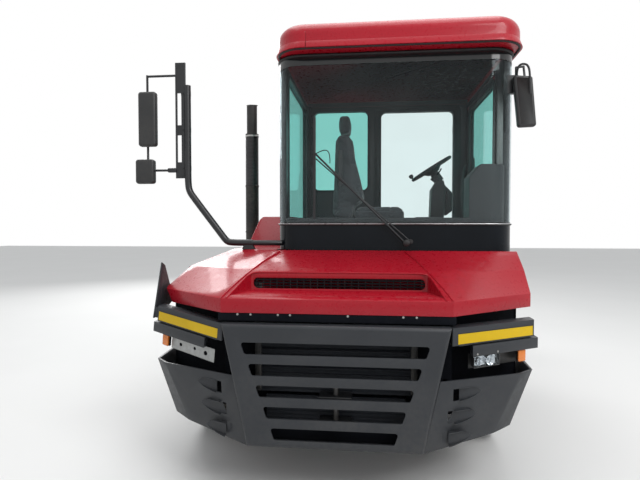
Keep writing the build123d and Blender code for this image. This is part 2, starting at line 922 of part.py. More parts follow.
def door_left_glass():
    y = (door_front + 70, door_back - 70)
    return pane_x(y, (sill_window, door_top - 70), cab_left - 26, 60)


def door_rear_glass():
    x = (rear_door_x[0] + 55, rear_door_x[1] - 55)
    return pane_y(x, (sill_window, door_top - rear_door_rail), y_back - 26, 50)


def cab_fixed_glass():
    right = pane_x(side_window[0], side_window[1], cab_right + 18, 60)
    rear = pane_y(rear_window_x, rear_window_z, y_back - 26, 60)
    return right, rear


def roof():
    """The roof shell on the walls, with a flared lip, a front seam and a ledge for the headliner."""
    x = (roof_right, roof_left)
    y = (y_cab - roof_front_overhang, y_back + roof_rear_overhang)
    corners = (roof_corner, roof_corner, 90, 90)
    outer = plan_block(x, y, corners, wall_top, roof_top)
    outer = fillet(outer.edges().group_by(Axis.Z)[-1], 105)
    lip_plan = rounded_plan(
        (x[0] - roof_lip, x[1] + roof_lip),
        (y[0] - roof_lip, y[1] + roof_lip),
        [radius + roof_lip for radius in corners],
        wall_top,
    )
    outer += extrude(lip_plan, roof_lip_height, taper=20)
    low = cab_outline(-roof_shell / 2, wall_top - 1, headliner_top)
    high = cab_outline(-roof_shell - 20, headliner_top - 10, roof_top - 45)
    seam = box((roof_seam_x - 3, roof_seam_x + 3), (y[0] - 40, y[0] + 60), (wall_top - 1, roof_top + 1))
    skin = plan_block((x[0], x[1]), (y[0] + 4, y[1]), corners, wall_top - 1, roof_top - 4)
    return outer - low - high - (seam - skin)


def headliner():
    return cab_outline(-roof_shell / 2 - 0.3, headliner_top - headliner_thickness, headliner_top)


def dashboard():
    """The sill behind the windscreen."""
    body = cab_outline(-cab_wall - 0.3, cab_floor_top, 1730)
    body &= box((cab_right, cab_left), (y_cab, y_cab + 260), (cab_floor_top, 1730))
    body -= box((cab_right + 120, cab_left - 120), (y_cab + 120, y_cab + 300), (cab_floor_top - 1, 1650))
    pod = cab_outline(-cab_wall - 0.3, 1729, 2120) & box((925, cab_left), (y_cab, y_cab + 260), (1729, 2120))
    slope = prism_y([(900, 2121), (900, 2000), (1010, 2121)], y_cab, y_cab + 400)
    return body + (pod - slope)


station_x = 295
station_y = y_back - 820
pedestal_top = 1330
seat_base = 1690
column_top = 2070


def pedestal():
    """The fixed foot of the driver's station, with the pivot pin."""
    return rod_z(150, cab_floor_top, pedestal_top, station_x, station_y) + rod_z(
        30, pedestal_top - 1, pedestal_top + 40, station_x, station_y
    )


def station_platform():
    """The turning platform with the seat's box and the column's foot."""
    z = pedestal_top + 0.3
    plate = plan_block(
        (station_x - 330, station_x + 560), (station_y - 230, station_y + 230), (40, 40, 40, 40), z, z + 22
    )
    plate -= rod_z(30 + running_fit, z - 1, z + 40, station_x, station_y)
    seat_box = box((station_x - 300, station_x + 60), (station_y - 190, station_y + 190), (z + 20, seat_base))
    hollow_y = (station_y - 175, station_y + 175)
    seat_box -= box((station_x - 285, station_x + 45), hollow_y, (z, seat_base - 15))
    bend = column_top - 80
    side = [(430, z + 20), (540, z + 20), (572, bend), (558, column_top), (498, column_top), (450, bend)]
    column = prism_y([(station_x + x, height) for x, height in side], station_y - 85, station_y + 85)
    sides = column.edges().group_by(Axis.Y)
    return plate + seat_box + fillet(sides[0] + sides[-1], 18)


def seat_cushion():
    z = (seat_base + 0.3, seat_base + 130)
    pad = box((station_x - 250, station_x + 230), (station_y - 250, station_y + 250), z)
    return fillet(pad.edges(), 35)


def seat_backrest():
    low = seat_base + 20
    top = low + 780
    front = [(-250.3, low), (-250.3, low + 130), (-150, low + 190), (-190, low + 360), (-250, top - 200)]
    side = [(-405, low), *front, (-272, top), (-372, top)]
    pad = prism_y([(station_x + x, z) for x, z in side], station_y - 240, station_y + 240)
    head = box((station_x - 366, station_x - 268), (station_y - 130, station_y + 130), (top + 0.3, top + 160))
    return fillet(pad.edges(), 35), fillet(head.edges(), 30)


wheel_tilt = 32
wheel_centre = (station_x + 470, station_y, column_top + 90)
rim_radius = 187


def steering_axis():
    return Vector(-sin(radians(wheel_tilt)), 0, cos(radians(wheel_tilt)))


def steering_column():
    """The slanted column that carries the steering wheel, on the platform's console."""
    axis = steering_axis()
    top = Vector(*wheel_centre) - axis * 7.3
    foot = Vector(*wheel_centre) - axis * 150
    return rod_between(28, foot, top)


def steering_wheel():
    plane = Plane(origin=wheel_centre, z_dir=steering_axis())
    rim = plane * Pos(0, 0, 25) * Torus(rim_radius, 14)
    hub = plane * Pos(0, 0, 8) * Cylinder(45, 30)
    wheel = rim + hub
    for angle in (0, 120, 240):
        wheel += plane * Rot(0, 0, angle) * Pos(rim_radius / 2 + 12, 0, 15) * Box(rim_radius - 24, 30, 10)
    return wheel


def tyre(x, y):
    """A tyre as one turned ring: bead, sidewall, shoulder and crown with three grooves."""
    half = tyre_width / 2
    outer = tyre_diameter / 2
    section = [
        (-rim_width / 2, bead_radius),
        (rim_width / 2, bead_radius),
        (half - 8, 360),
        (half, 420),
        (half - 8, 490),
        (half - 30, outer - 10),
        (half - 60, outer - 2),
        (70, outer),
        (70, outer - 16),
        (56, outer - 16),
        (56, outer),
        (7, outer),
        (7, outer - 16),
        (-7, outer - 16),
        (-7, outer),
        (-56, outer),
        (-56, outer - 16),
        (-70, outer - 16),
        (-70, outer),
        (-half + 60, outer - 2),
        (-half + 30, outer - 10),
        (-half + 8, 490),
        (-half, 420),
        (-half + 8, 360),
    ]
    return turned_x([(x + px, r) for px, r in section], y, axle_z)


def front_rim():
    """The left front rim with its hub; the disc stands near the outer side."""
    x = front_wheel_x
    half = rim_width / 2
    outer = bead_radius - rim_gap
    section = [
        (x - half, outer),
        (x - half, outer - rim_wall - 10),
        (x + 40, outer - rim_wall - 10),
        (x + 52, 180),
        (x + 52, 130),
        (x - 40, 110),
        (x - 40, spindle_radius + running_fit),
        (x + 85, spindle_radius + running_fit),
        (x + 85, 110),
        (x + 64, 130),
        (x + 64, 190),
        (x + 55, outer - rim_wall - 10),
        (x + half, outer - rim_wall),
        (x + half, outer),
    ]
    rim = turned_x(section, front_axle_y, axle_z)
    for step in range(8):
        angle = radians(step * 45)
        hole_y = front_axle_y + 225 * cos(angle)
        hole_z = axle_z + 225 * sin(angle)
        rim -= rod_x(24, x + 30, x + 80, hole_y, hole_z)
    return rim


def rear_rims():
    """The left pair of rims back to back on their hub."""
    middle = (twin_inner_x + twin_outer_x) / 2
    outer = bead_radius - rim_gap
    inner = outer - rim_wall - 10
    half = rim_width / 2
    section = [
        (twin_inner_x - half, outer),
        (twin_inner_x - half, inner),
        (middle - 30, inner),
        (middle - 12, 190),
        (middle - 12, 140),
        (680, 130),
        (680, rear_spindle_radius + running_fit),
        (1040, rear_spindle_radius + running_fit),
        (1040, 120),
        (1000, 140),
        (middle + 12, 150),
        (middle + 12, 190),
        (middle + 30, inner),
        (twin_outer_x + half, inner),
        (twin_outer_x + half, outer),
        (twin_outer_x - half, outer),
        (twin_outer_x - half, inner + 2),
        (twin_inner_x + half, inner + 2),
        (twin_inner_x + half, outer),
    ]
    return turned_x(section, 0, axle_z)


def front_axle():
    """The dropped beam with its end eyes and kingpins."""
    y = (front_axle_y - 50, front_axle_y + 50)
    half = [
        (0, 380),
        (600, 380),
        (700, 420),
        (kingpin_x - 30, 480),
        (kingpin_x - 30, 600),
        (700, 545),
        (600, 470),
        (0, 470),
    ]
    outline = half + [(-x, z) for x, z in reversed(half[1:-1])]
    beam = prism_y(outline, *y)
    for side in (-1, 1):
        x = side * kingpin_x
        beam += rod_z(eye_radius, axle_z - eye_half, axle_z + eye_half, x, front_axle_y)
        beam += rod_z(kingpin_radius, axle_z - 125, axle_z + 125, x, front_axle_y)
    web = box((-560, 560), (y[0] - 1, y[0] + 30), (398, 452))
    beam -= web
    beam -= box((-560, 560), (y[1] - 30, y[1] + 1), (398, 452))
    return beam


def knuckle():
    """The left knuckle: fork on the kingpin, spindle and the track rod arm."""
    x = kingpin_x
    y = front_axle_y
    plate = box((x + 72, x + 104), (y - 62, y + 62), (axle_z - 122, axle_z + 122))
    spindle = rod_x(spindle_radius, x + 100, front_wheel_x + 75, y, axle_z)
    body = plate + spindle
    for z0 in (axle_z - 122, axle_z + eye_half + 2):
        lug = box((x, x + 80), (y - 45, y + 45), (z0, z0 + 40)) + rod_z(52, z0, z0 + 40, x, y)
        body += lug
    arm_z = track_rod_z
    arm = box((x - 18, x + 18), (y + 30, y + steering_arm), (arm_z - 14, arm_z + 14))
    arm += rod_z(26, arm_z - 14, arm_z + 14, x, y + steering_arm)
    body += arm
    body -= rod_z(kingpin_radius + running_fit, axle_z - 130, axle_z + 130, x, y)
    return body - rod_z(ball_radius + running_fit, arm_z - 20, arm_z + 20, x, y + steering_arm)


def track_rod():
    """The rod under the two arms, with its ball pins."""
    y = front_axle_y + steering_arm
    z = track_rod_z - 50
    rod = rod_x(track_rod_radius, -kingpin_x, kingpin_x, y, z)
    for side in (-1, 1):
        rod += rod_z(24, z - 26, z + 30, side * kingpin_x, y)
        rod += rod_z(ball_radius, z, track_rod_z + 16, side * kingpin_x, y)
    return rod


spring_seat = 470
spring_half = 700
spring_radius = 6100
leaf_thickness = 17.5


def curved_leaf(x, length, number):
    """One leaf of a concentric pack whose ends rise, numbered from the lowest and shortest."""
    centre_z = spring_seat + spring_radius
    outer = spring_radius - number * leaf_thickness
    inner = outer - leaf_thickness
    ring = rod_x(outer, *x, front_axle_y, centre_z) - rod_x(inner, *x, front_axle_y, centre_z)
    return ring & box(x, (front_axle_y - length, front_axle_y + length), (spring_seat - 1, spring_seat + 200))


def leaf_springs():
    """The front leaf packs under the rails, with their hangers."""
    pieces = []
    for side in (-1, 1):
        x = sorted((side * 352, side * 428))
        pack = box(x, (front_axle_y - 70, front_axle_y + 70), (spring_seat + 40, spring_seat + 90))
        for number, length in enumerate((400, 560, spring_half)):
            pack += curved_leaf(x, length, number)
        for end in (-1, 1):
            y = sorted((front_axle_y + end * (spring_half - 60), front_axle_y + end * spring_half))
            pack += box(x, y, (spring_seat + 72, rail_bottom))
        pieces.append(pack)
    return pieces


def rear_axle():
    """The rear housing with its round centre, spindles and seats under the rails."""
    housing = rod_x(75, -675, 675, 0, axle_z)
    spindles = rod_x(rear_spindle_radius, -1030, 1030, 0, axle_z)
    centre = turned_x([(-190, 0), (-190, 60), (-110, 190), (110, 190), (190, 60), (190, 0)], 0, axle_z)
    nose = rod_y(80, -214, 0, 0, 566)
    body = housing + spindles + centre + nose
    for side in (-1, 1):
        x = sorted((side * (rail_outer - rail_flange), side * rail_outer))
        body += box(x, (-110, 110), (axle_z - 20, rail_bottom))
    return body


def boom_arm(side):
    x = sorted((side * boom_inner, side * boom_outer))
    y, z = boom_pivot
    arm = prism_x(
        [(y, boom_bottom), (boom_rear_y, boom_bottom), (boom_rear_y, boom_top), (y, boom_top)], *x
    )
    arm += rod_x(60, *x, y, z)
    arm += rod_x(44, *x, fifth_y, fifth_pin_z)
    arm += box(x, (fifth_y - 44, fifth_y + 44), (boom_top - 5, fifth_pin_z))
    stub = sorted((side * boom_outer, side * (boom_outer + 62)))
    arm += rod_x(25, *stub, fifth_y, fifth_pin_z)
    return arm - rod_x(boom_pin_radius + running_fit, *x, y, z)


def boom():
    """The lift boom: two arms, cross members and the bar that the rods lift."""
    body = boom_arm(1) + boom_arm(-1)
    y, z = lift_eye
    body += rod_x(lift_pin_radius, -boom_inner - 5, boom_inner + 5, y, z)
    for y0, y1 in ((-1640, -1560), (-760, -680), (boom_rear_y - 60, boom_rear_y)):
        body += box((-boom_inner - 5, boom_inner + 5), (y0, y1), (boom_bottom + 10, boom_top - 10))
    return body


def fifth_wheel():
    """The plate with its kingpin throat, ramps and ears on the boom's stub pins."""
    outline = [
        (-450, fifth_y - 250),
        (-330, fifth_y - 345),
        (330, fifth_y - 345),
        (450, fifth_y - 250),
        (450, fifth_y + 250),
        (330, fifth_y + 480),
        (190, fifth_y + 480),
        (jaw_radius, fifth_y + 120),
        (jaw_radius, fifth_y),
        (-jaw_radius, fifth_y),
        (-jaw_radius, fifth_y + 120),
        (-190, fifth_y + 480),
        (-330, fifth_y + 480),
        (-450, fifth_y + 250),
    ]
    plate = prism_z(outline, fifth_top - fifth_plate, fifth_top)
    plate -= rod_z(jaw_radius, fifth_top - fifth_plate - 1, fifth_top + 1, 0, fifth_y)
    for side in (-1, 1):
        x = sorted((side * (boom_outer + 6), side * (boom_outer + 56)))
        ear = box(x, (fifth_y - 60, fifth_y + 60), (fifth_pin_z, fifth_top - fifth_plate + 1))
        ear += rod_x(42, *x, fifth_y, fifth_pin_z)
        plate += ear - rod_x(25 + running_fit, *x, fifth_y, fifth_pin_z)
        rib = box(sorted((side * 60, side * 280)), (fifth_y - 320, fifth_y - 300), (1080, 1111))
        plate += rib
    return plate


def cylinder_plane(x):
    """A plane at the barrel's eye whose Z points along the cylinder."""
    run = (lift_eye[0] - barrel_eye[0], lift_eye[1] - barrel_eye[1])
    return Plane(origin=(x, *barrel_eye), x_dir=(1, 0, 0), z_dir=(0, *run))


cylinder_length = hypot(lift_eye[0] - barrel_eye[0], lift_eye[1] - barrel_eye[1])
rod_radius = 28
barrel_length = cylinder_length - 62


def barrel(x):
    plane = cylinder_plane(x)
    tube = plane * Pos(0, 0, barrel_length / 2 + 15) * Cylinder(48, barrel_length - 30)
    eye = rod_x(46, x - 28, x + 28, *barrel_eye)
    body = tube + eye
    body -= plane * Pos(0, 0, barrel_length / 2 + 60) * Cylinder(rod_radius + 0.1, barrel_length)
    return body - rod_x(barrel_pin_radius + running_fit, x - 30, x + 30, *barrel_eye)


def lift_rod(x):
    plane = cylinder_plane(x)
    start = 75
    rod = plane * Pos(0, 0, (start + cylinder_length) / 2) * Cylinder(rod_radius, cylinder_length - start)
    eye = rod_x(40, x - 28, x + 28, *lift_eye)
    return (rod + eye) - rod_x(lift_pin_radius + rod_eye_play, x - 60, x + 60, *lift_eye)


def pipe_run(points, radius, bends):
    """A pipe of straight runs joined by tangent arcs."""
    path = FilletPolyline(*points, radius=bends)
    section = Plane(origin=points[0], z_dir=Vector(*points[1]) - Vector(*points[0])) * Circle(radius)
    return sweep(section, path)


mirror_y = bumper_y + 920
mast_x = -1214
mast_top = wall_top - 177
mast_radius = 20
hanger_x = -1538


def mirror_arm_right():
    """The heavy bent pipe on the hood's right side, with its foot and flat bracket."""
    x_in = cab_right + 35
    z = hood_top + 50
    corners = ((x_in, z), (-895, z), (mast_x, 1945), (mast_x, mast_top))
    points = [(px, mirror_y, pz) for px, pz in corners]
    arm = pipe_run(points, mast_radius, [110, 160]) - cab_outline(0.3, 1400, 1700)
    low = mast_top - 721
    bracket = box((mast_x - 94, mast_x - 14), (mirror_y - 12, mirror_y + 4), (low, mast_top + 175))
    hole = (low + 43, mast_top + 130)
    bracket -= box((mast_x - 82, mast_x - 46), (mirror_y - 13, mirror_y + 5), hole)
    foot_outline = [(-760, z - 8), (-700, z - 8), (-680, hood_top), (-780, hood_top)]
    foot = prism_y(foot_outline, mirror_y - 20, mirror_y + 20)
    stays = rod_x(9, hanger_x, mast_x - 85, mirror_y - 4, mast_top + 78)
    stays += rod_x(9, hanger_x, mast_x - 85, mirror_y - 4, mast_top - 658)
    hanger = rod_z(9, mast_top - 703, mast_top + 87, hanger_x, mirror_y - 4)
    return arm + bracket + foot + stays + hanger


def mirror_heads_right():
    """The main mirror and the small wide-angle one below it."""
    heads = []
    sizes = ((hanger_x + 22, mast_top - 266, 72, 211), (hanger_x, mast_top - 671, 76, 95))
    for x, z, half_x, half_z in sizes:
        head = box((x - half_x, x + half_x), (mirror_y - 75, mirror_y - 13.3), (z - half_z, z + half_z))
        heads.append(fillet(head.edges(), 22))
    return heads


mirror_left_y = y_cab + 60
mirror_left_top = wall_top - 200


def mirror_arm_left():
    """The left mirror's short arm and loop beside the front post."""
    y = mirror_left_y
    top = mirror_left_top
    arm = box((cab_left - 85, 1262), (y - 10, y + 30), (top - 117, top + 13))
    arm -= cab_outline(0.3, top - 140, top + 60)
    corners = ((1252, top), (1252, top + 72), (1304, top + 78), (1330, top - 150))
    route = [(x, y + 10, z) for x, z in corners]
    loop = None
    for start, end in zip(route, route[1:]):
        piece = rod_between(8, start, end) + Pos(*end) * Sphere(8)
        loop = piece if loop is None else loop + piece
    clamp = box((1308, 1352), (y - 13.7, y + 20), (top - 170, top - 125))
    return arm + loop + clamp


def mirror_head_left():
    y = mirror_left_y
    top = mirror_left_top
    head = prism_y([(1212, top), (1250, top - 370), (1378, top - 366), (1346, top - 12)], y - 70, y - 14)
    return fillet(head.edges(), 20)


def wiper():
    """Two parallel arms and a vertical blade on the outside of the windscreen."""
    y = y_cab - 6
    pivot = (470, black_panel_top - 135)
    tip = (-205, black_panel_top + 530)
    body = rod_y(22, y_cab - 40, y_cab - 0.3, *pivot)
    body += rod_between(7, (pivot[0] - 8, y - 24, pivot[1]), (tip[0], y - 14, tip[1]))
    body += rod_between(5, (pivot[0] + 30, y - 24, pivot[1] + 10), (tip[0] + 12, y - 14, tip[1] - 45))
    body += rod_y(14, y_cab - 36, y_cab - 0.3, pivot[0] + 30, pivot[1] + 10)
    blade = box((tip[0] - 10, tip[0] + 10), (y - 18, y + 5), (black_panel_top + 40, black_panel_top + 790))
    return body + blade


os.makedirs("parts", exist_ok=True)

save("frame_rails", frame_rail(), mirrored(frame_rail()))
save("cross_members", *cross_members(), rear_plate(), boom_bracket(), mirrored(boom_bracket()))
save("bumper_grille", bumper_grille())
save("bumper_wing_left", bumper_wing(wing_gap))
right_wing = [bumper_wing(bent_wing_gap), wing_fin(), lamp_bracket()]
save("bumper_wing_right", *[bent_wing(piece) for piece in right_wing])
save("bumper_stripes", stripe(), bent_wing(stripe()))
save("front_lamps", headlamp(), indicator(), bent_wing(indicator()))
save("tail_lamps", *tail_lamps())
save("corner_mouldings", corner_moulding(), mirrored(corner_moulding()))
save("front_beam", front_beam())
save("radiator", *radiator())
save("hood", hood())
save("hood_grille", hood_grille())
save("rear_cowl", rear_cowl())
save("engine", engine(), propeller_shaft())
save("exhaust", exhaust())
save("battery_box", battery_box())
save("fuel_tank", fuel_tank())
save("cab_steps", cab_steps(), deck())
save("fenders", front_fender(), front_fender_right(), rear_fender(), mirrored(rear_fender()))
save("cab_mounts", cab_mounts())
save("cab_floor", cab_floor() + pedestal())
save("cab_front_panel", cab_front_panel())
save("windscreen", windscreen())
save("cab_side_left", cab_side_left())
save("door_left", door_left())
save("door_left_glass", door_left_glass())
save("cab_side_right", cab_side_right())
save("cab_rear_wall", cab_rear_wall())
save("door_rear", door_rear())
save("door_rear_glass", door_rear_glass())
save("cab_fixed_glass", *cab_fixed_glass())
save("roof", roof())
save("cab_trim", headliner(), dashboard())
save("station_platform", station_platform() + steering_column())
save("driver_seat", seat_cushion(), *seat_backrest())
save("steering_wheel", steering_wheel())
save("front_axle", front_axle())
save("leaf_springs", *leaf_springs())
save("track_rod", track_rod())
save("rear_axle", rear_axle())
for name, side in (("left", lambda shape: shape), ("right", mirrored)):
    save(f"knuckle_{name}", side(knuckle()))
    save(f"front_rim_{name}", side(front_rim()))
    save(f"front_tyre_{name}", side(tyre(front_wheel_x, front_axle_y)))
    save(f"rear_rims_{name}", side(rear_rims()))
    save(f"rear_tyres_{name}", side(tyre(twin_inner_x, 0)), side(tyre(twin_outer_x, 0)))
save("boom", boom())
save("fifth_wheel", fifth_wheel())
save("lift_barrels", barrel(cylinder_x), barrel(-cylinder_x))
save("lift_rods", lift_rod(cylinder_x), lift_rod(-cylinder_x))
save("mirror_arms", mirror_arm_right(), mirror_arm_left())
save("mirror_heads", *mirror_heads_right(), mirror_head_left())
save("wiper", wiper())
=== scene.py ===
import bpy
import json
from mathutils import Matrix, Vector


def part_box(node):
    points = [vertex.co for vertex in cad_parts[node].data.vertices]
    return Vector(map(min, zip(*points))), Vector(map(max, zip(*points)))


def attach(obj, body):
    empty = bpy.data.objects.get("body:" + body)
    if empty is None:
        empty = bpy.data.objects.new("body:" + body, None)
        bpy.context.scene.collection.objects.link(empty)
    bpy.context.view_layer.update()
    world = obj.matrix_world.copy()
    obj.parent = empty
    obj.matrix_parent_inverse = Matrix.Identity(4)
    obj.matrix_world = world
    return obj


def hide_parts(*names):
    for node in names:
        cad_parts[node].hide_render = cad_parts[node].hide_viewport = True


bl_info = {
    "name": "Terminal Tractor",
    "version": (1, 0, 0),
    "blender": (4, 5, 0),
    "location": "View3D > Sidebar > Terminal Tractor",
    "description": "Dresses the tractor's frame with its finishes, lamps, seals, tyres, seat and hardware",
    "category": "Object",
}

import json
import math

import bmesh
import bpy
from bpy.props import FloatProperty, FloatVectorProperty, IntProperty, PointerProperty
from mathutils import Euler, Matrix, Vector

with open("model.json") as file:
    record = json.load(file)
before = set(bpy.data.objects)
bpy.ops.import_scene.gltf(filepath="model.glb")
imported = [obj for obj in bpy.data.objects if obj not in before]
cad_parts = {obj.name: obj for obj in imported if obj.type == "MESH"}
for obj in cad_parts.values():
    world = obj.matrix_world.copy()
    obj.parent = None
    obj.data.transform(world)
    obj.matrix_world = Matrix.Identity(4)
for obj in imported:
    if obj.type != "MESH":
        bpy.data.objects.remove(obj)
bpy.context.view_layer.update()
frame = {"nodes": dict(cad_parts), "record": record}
SLOT_OF = {part["node"]: part["material_slot"] for part in frame["record"]["subparts"]}
BODY_OF = {node: body for body, nodes in frame["record"]["behaviour"]["bodies"].items() for node in nodes}
FINISH = {}

# The swept front wings: where the front face starts, and how far it runs back for each metre outwards
WING_X = 0.692
WING_Y = -4.508
WING_SLOPE = 0.312 / 0.530
WING_NORMAL = Vector((WING_SLOPE, -1, 0)).normalized()

# The right wing is bent up about this height, by this many degrees
WING_BEND = 5
BEND_Z = 0.937

# The cab's outer faces, its walls' thickness, the rounding of its front corners and its windows, and how
# far the windows' seals stand off the walls
CAB_RIGHT = -0.500
CAB_LEFT = 1.250
CAB_FRONT = -3.720
CAB_BACK = -2.050
CAB_WALL = 0.045
CAB_CORNER = 0.190
WINDOW_CORNER = 0.055
SEAL_DEPTH = 0.006

# The windscreen's ends at both sides, its clear height between the dark borders (the black gasket, and
# painted shade under the roof's lip), and the left door's inner face
SCREEN_BACK = -3.5
SCREEN_CLEAR = (1.697, 2.855)
DOOR_INSIDE = 1.2048

# The row of bolts under the hood's lip, and the places in plan of the stack and the right mirror's mast
HOOD_BOLT_Z = 1.141
STACK = (-1.020, -2.350)
MAST = (-1.214, -3.630)

# The stack's perforated sleeve: its radius, and the distance between its holes
SLEEVE_RADIUS = 0.0665
HOLE_PITCH = 0.0139

# The steering wheel's centre, and how far its axis leans back
WHEEL_CENTRE = (0.765, -2.870, 2.160)
WHEEL_LEAN = math.radians(32)

# The front axle's place along the vehicle, both axles' height, the tyres' middles across it and their radius
# over the tread, and the outer face of the frame's rails
FRONT_AXLE = -3.200
AXLE_Z = 0.538
FRONT_TYRE = 1.050
REAR_TYRES = (("inner", 0.735), ("outer", 1.085))
TYRE_RADIUS = 0.538
RAIL = 0.430

SIDES = ((1, "left"), (-1, "right"))


def colour(name, label, value):
    return FloatVectorProperty(
        name=name, description=label, subtype="COLOR", size=3, min=0, max=1, default=value
    )


class TractorColours(bpy.types.PropertyGroup):
    """The paint and trim colours."""

    body_red: colour("Body red", "Paint of the hood, roof, cowl and left door", (0.36, 0.005, 0.016))
    bumper_grey: colour("Bumper grey", "Moulded plastic of the bumper", (0.027, 0.030, 0.035))
    stripe_yellow: colour("Stripe yellow", "Reflective tape on the bumper wings", (0.66, 0.43, 0.003))
    chassis_grey: colour("Chassis grey", "Paint of the frame and axles", (0.020, 0.022, 0.025))
    rim_silver: colour("Rim silver", "Paint of the wheel discs", (0.50, 0.51, 0.52))
    seat_cloth: colour("Seat cloth", "Woven cover of the seat", (0.075, 0.076, 0.084))
    glass_tint: colour("Glass tint", "Tint of the side and rear panes", (0.50, 0.80, 0.76))


class TractorSizes(bpy.types.PropertyGroup):
    """Sizes of the trim."""

    seal: FloatProperty(
        name="Seal width", description="Face width of the windows' rubber seals", default=0.018, unit="LENGTH"
    )
    tread: FloatProperty(
        name="Tread depth", description="Depth of the grooves in the tread", default=0.014, unit="LENGTH"
    )
    pitches: IntProperty(
        name="Tread pitches", description="Tread blocks round each tyre", default=44, min=12
    )


def deselect():
    """Leaves object mode active and nothing selected."""
    if bpy.context.object and bpy.context.object.mode != "OBJECT":
        bpy.ops.object.mode_set(mode="OBJECT")
    bpy.ops.object.select_all(action="DESELECT")


def activate(piece):
    deselect()
    piece.select_set(True)
    bpy.context.view_layer.objects.active = piece


def apply_place(piece):
    activate(piece)
    bpy.ops.object.transform_apply(location=True, rotation=True, scale=True)


def block(name, low, high):
    """A box primitive between two corners, with its place in its mesh."""
    deselect()
    centre = [(a + b) / 2 for a, b in zip(low, high)]
    size = [abs(b - a) for a, b in zip(low, high)]
    bpy.ops.mesh.primitive_cube_add(size=1, location=centre, scale=size)
    piece = bpy.context.object
    piece.name = name
    apply_place(piece)
    return piece


def bar(name, radius, start, end, vertices=24):
    """A cylinder primitive between two points."""
    deselect()
    start = Vector(start)
    run = Vector(end) - start
    turn = run.to_track_quat("Z", "Y").to_euler()
    bpy.ops.mesh.primitive_cylinder_add(
        vertices=vertices, radius=radius, depth=run.length, location=start + run / 2, rotation=turn
    )
    piece = bpy.context.object
    piece.name = name
    apply_place(piece)
    return piece


def tube(name, points, radius, sides=3, closed=False, smooth=True):
    """A round tube along a route, as a mesh."""
    deselect()
    if smooth:
        bpy.ops.curve.primitive_nurbs_path_add()
    else:
        bpy.ops.curve.primitive_bezier_curve_add()
    piece = bpy.context.object
    piece.name = name
    route = piece.data
    route.splines.clear()
    spline = route.splines.new("NURBS" if smooth else "POLY")
    spline.points.add(len(points) - 1)
    for knot, point in zip(spline.points, points):
        knot.co = (*point, 1)
    spline.use_cyclic_u = closed
    if smooth:
        spline.order_u = 3
        spline.use_endpoint_u = not closed
        spline.resolution_u = 6
    route.dimensions = "3D"
    route.bevel_depth = radius
    route.bevel_resolution = sides
    route.use_fill_caps = not closed
    piece.location = (0, 0, 0)
    bpy.ops.object.convert(target="MESH")
    piece = bpy.context.object
    apply_place(piece)
    return piece


def edit_faces(piece, chosen):
    """Opens the piece in edit mode with the faces selected that pass the test."""
    activate(piece)
    bpy.ops.object.mode_set(mode="EDIT")
    bpy.ops.mesh.select_mode(type="FACE")
    bpy.ops.mesh.select_all(action="DESELECT")
    mesh = bmesh.from_edit_mesh(piece.data)
    for face in mesh.faces:
        face.select = chosen(face)
    bmesh.update_edit_mesh(piece.data)


def open_edit(piece):
    """Opens the piece in edit mode with everything selected."""
    activate(piece)
    bpy.ops.object.mode_set(mode="EDIT")
    bpy.ops.mesh.select_all(action="SELECT")


def close_edit():
    bpy.ops.object.mode_set(mode="OBJECT")


def bevelled(piece, width, segments=2, angle=35):
    """Rounds the piece's real edges."""
    activate(piece)
    rounding = piece.modifiers.new("Edges", "BEVEL")
    rounding.width = width
    rounding.segments = segments
    rounding.limit_method = "ANGLE"
    rounding.angle_limit = math.radians(angle)
    rounding.harden_normals = False
    bpy.ops.object.modifier_apply(modifier=rounding.name)
    return piece


def pad(name, low, high, width, segments=2):
    """A box between two corners with rounded edges."""
    return bevelled(block(name, low, high), width, segments)


def joined(name, parts):
    deselect()
    for part in parts:
        part.select_set(True)
    bpy.context.view_layer.objects.active = parts[0]
    bpy.ops.object.join()
    piece = bpy.context.object
    piece.name = name
    return piece


def mirrored_copy(piece, name):
    """The same piece on the other side, with its own mesh."""
    activate(piece)
    bpy.ops.object.duplicate()
    copy = bpy.context.object
    copy.name = name
    copy.data.transform(Matrix.Scale(-1, 4, (1, 0, 0)))
    open_edit(copy)
    bpy.ops.mesh.flip_normals()
    close_edit()
    return copy


def finish(piece, finish_name, body="chassis", smooth=35, replaces=()):
    """Smooths a piece, paints it, and lets it ride on its body."""
    activate(piece)
    piece.data.name = piece.name
    if smooth:
        bpy.ops.object.shade_smooth_by_angle(angle=math.radians(smooth))
    piece.data.materials.clear()
    piece.data.materials.append(FINISH[finish_name])
    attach(piece, body)
    if replaces:
        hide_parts(*replaces)
    return piece


def rubber(piece, body="chassis"):
    """Finishes a seal, hose or mat."""
    return finish(piece, "seal_rubber", body)


def zinc(piece, body="chassis"):
    """Finishes plated bolts and screws."""
    return finish(piece, "bolt_zinc", body)


def merged_copy(node, ending):
    """A copy of a CAD node with its doubled points merged and its split flat faces made whole."""
    piece = bpy.data.objects.new(node + ending, frame["nodes"][node].data.copy())
    bpy.context.scene.collection.objects.link(piece)
    open_edit(piece)
    bpy.ops.mesh.remove_doubles(threshold=0.00002)
    bpy.ops.mesh.dissolve_limited(angle_limit=math.radians(0.6))
    close_edit()
    return piece


def rounded_node(node, width, segments):
    """A merged copy of a CAD node with its real edges rounded, standing for the node."""
    piece = bevelled(merged_copy(node, "_rounded"), width, segments, 32)
    slot = SLOT_OF[node]
    return finish(piece, OWN_FINISH.get(node, slot), BODY_OF[node], 32, (node,))


def span(node):
    """A CAD node's lowest and highest corners."""
    low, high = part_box(node)
    return Vector(low), Vector(high)


def loop_through(name, points, fill):
    """A loop of points, filled or open, left in edit mode."""
    deselect()
    bpy.ops.mesh.primitive_circle_add(vertices=len(points), radius=1, fill_type=fill)
    piece = bpy.context.object
    piece.name = name
    bpy.ops.object.mode_set(mode="EDIT")
    mesh = bmesh.from_edit_mesh(piece.data)
    mesh.verts.ensure_lookup_table()
    for vertex, point in zip(mesh.verts, points):
        vertex.co = point
    bmesh.update_edit_mesh(piece.data)
    return piece


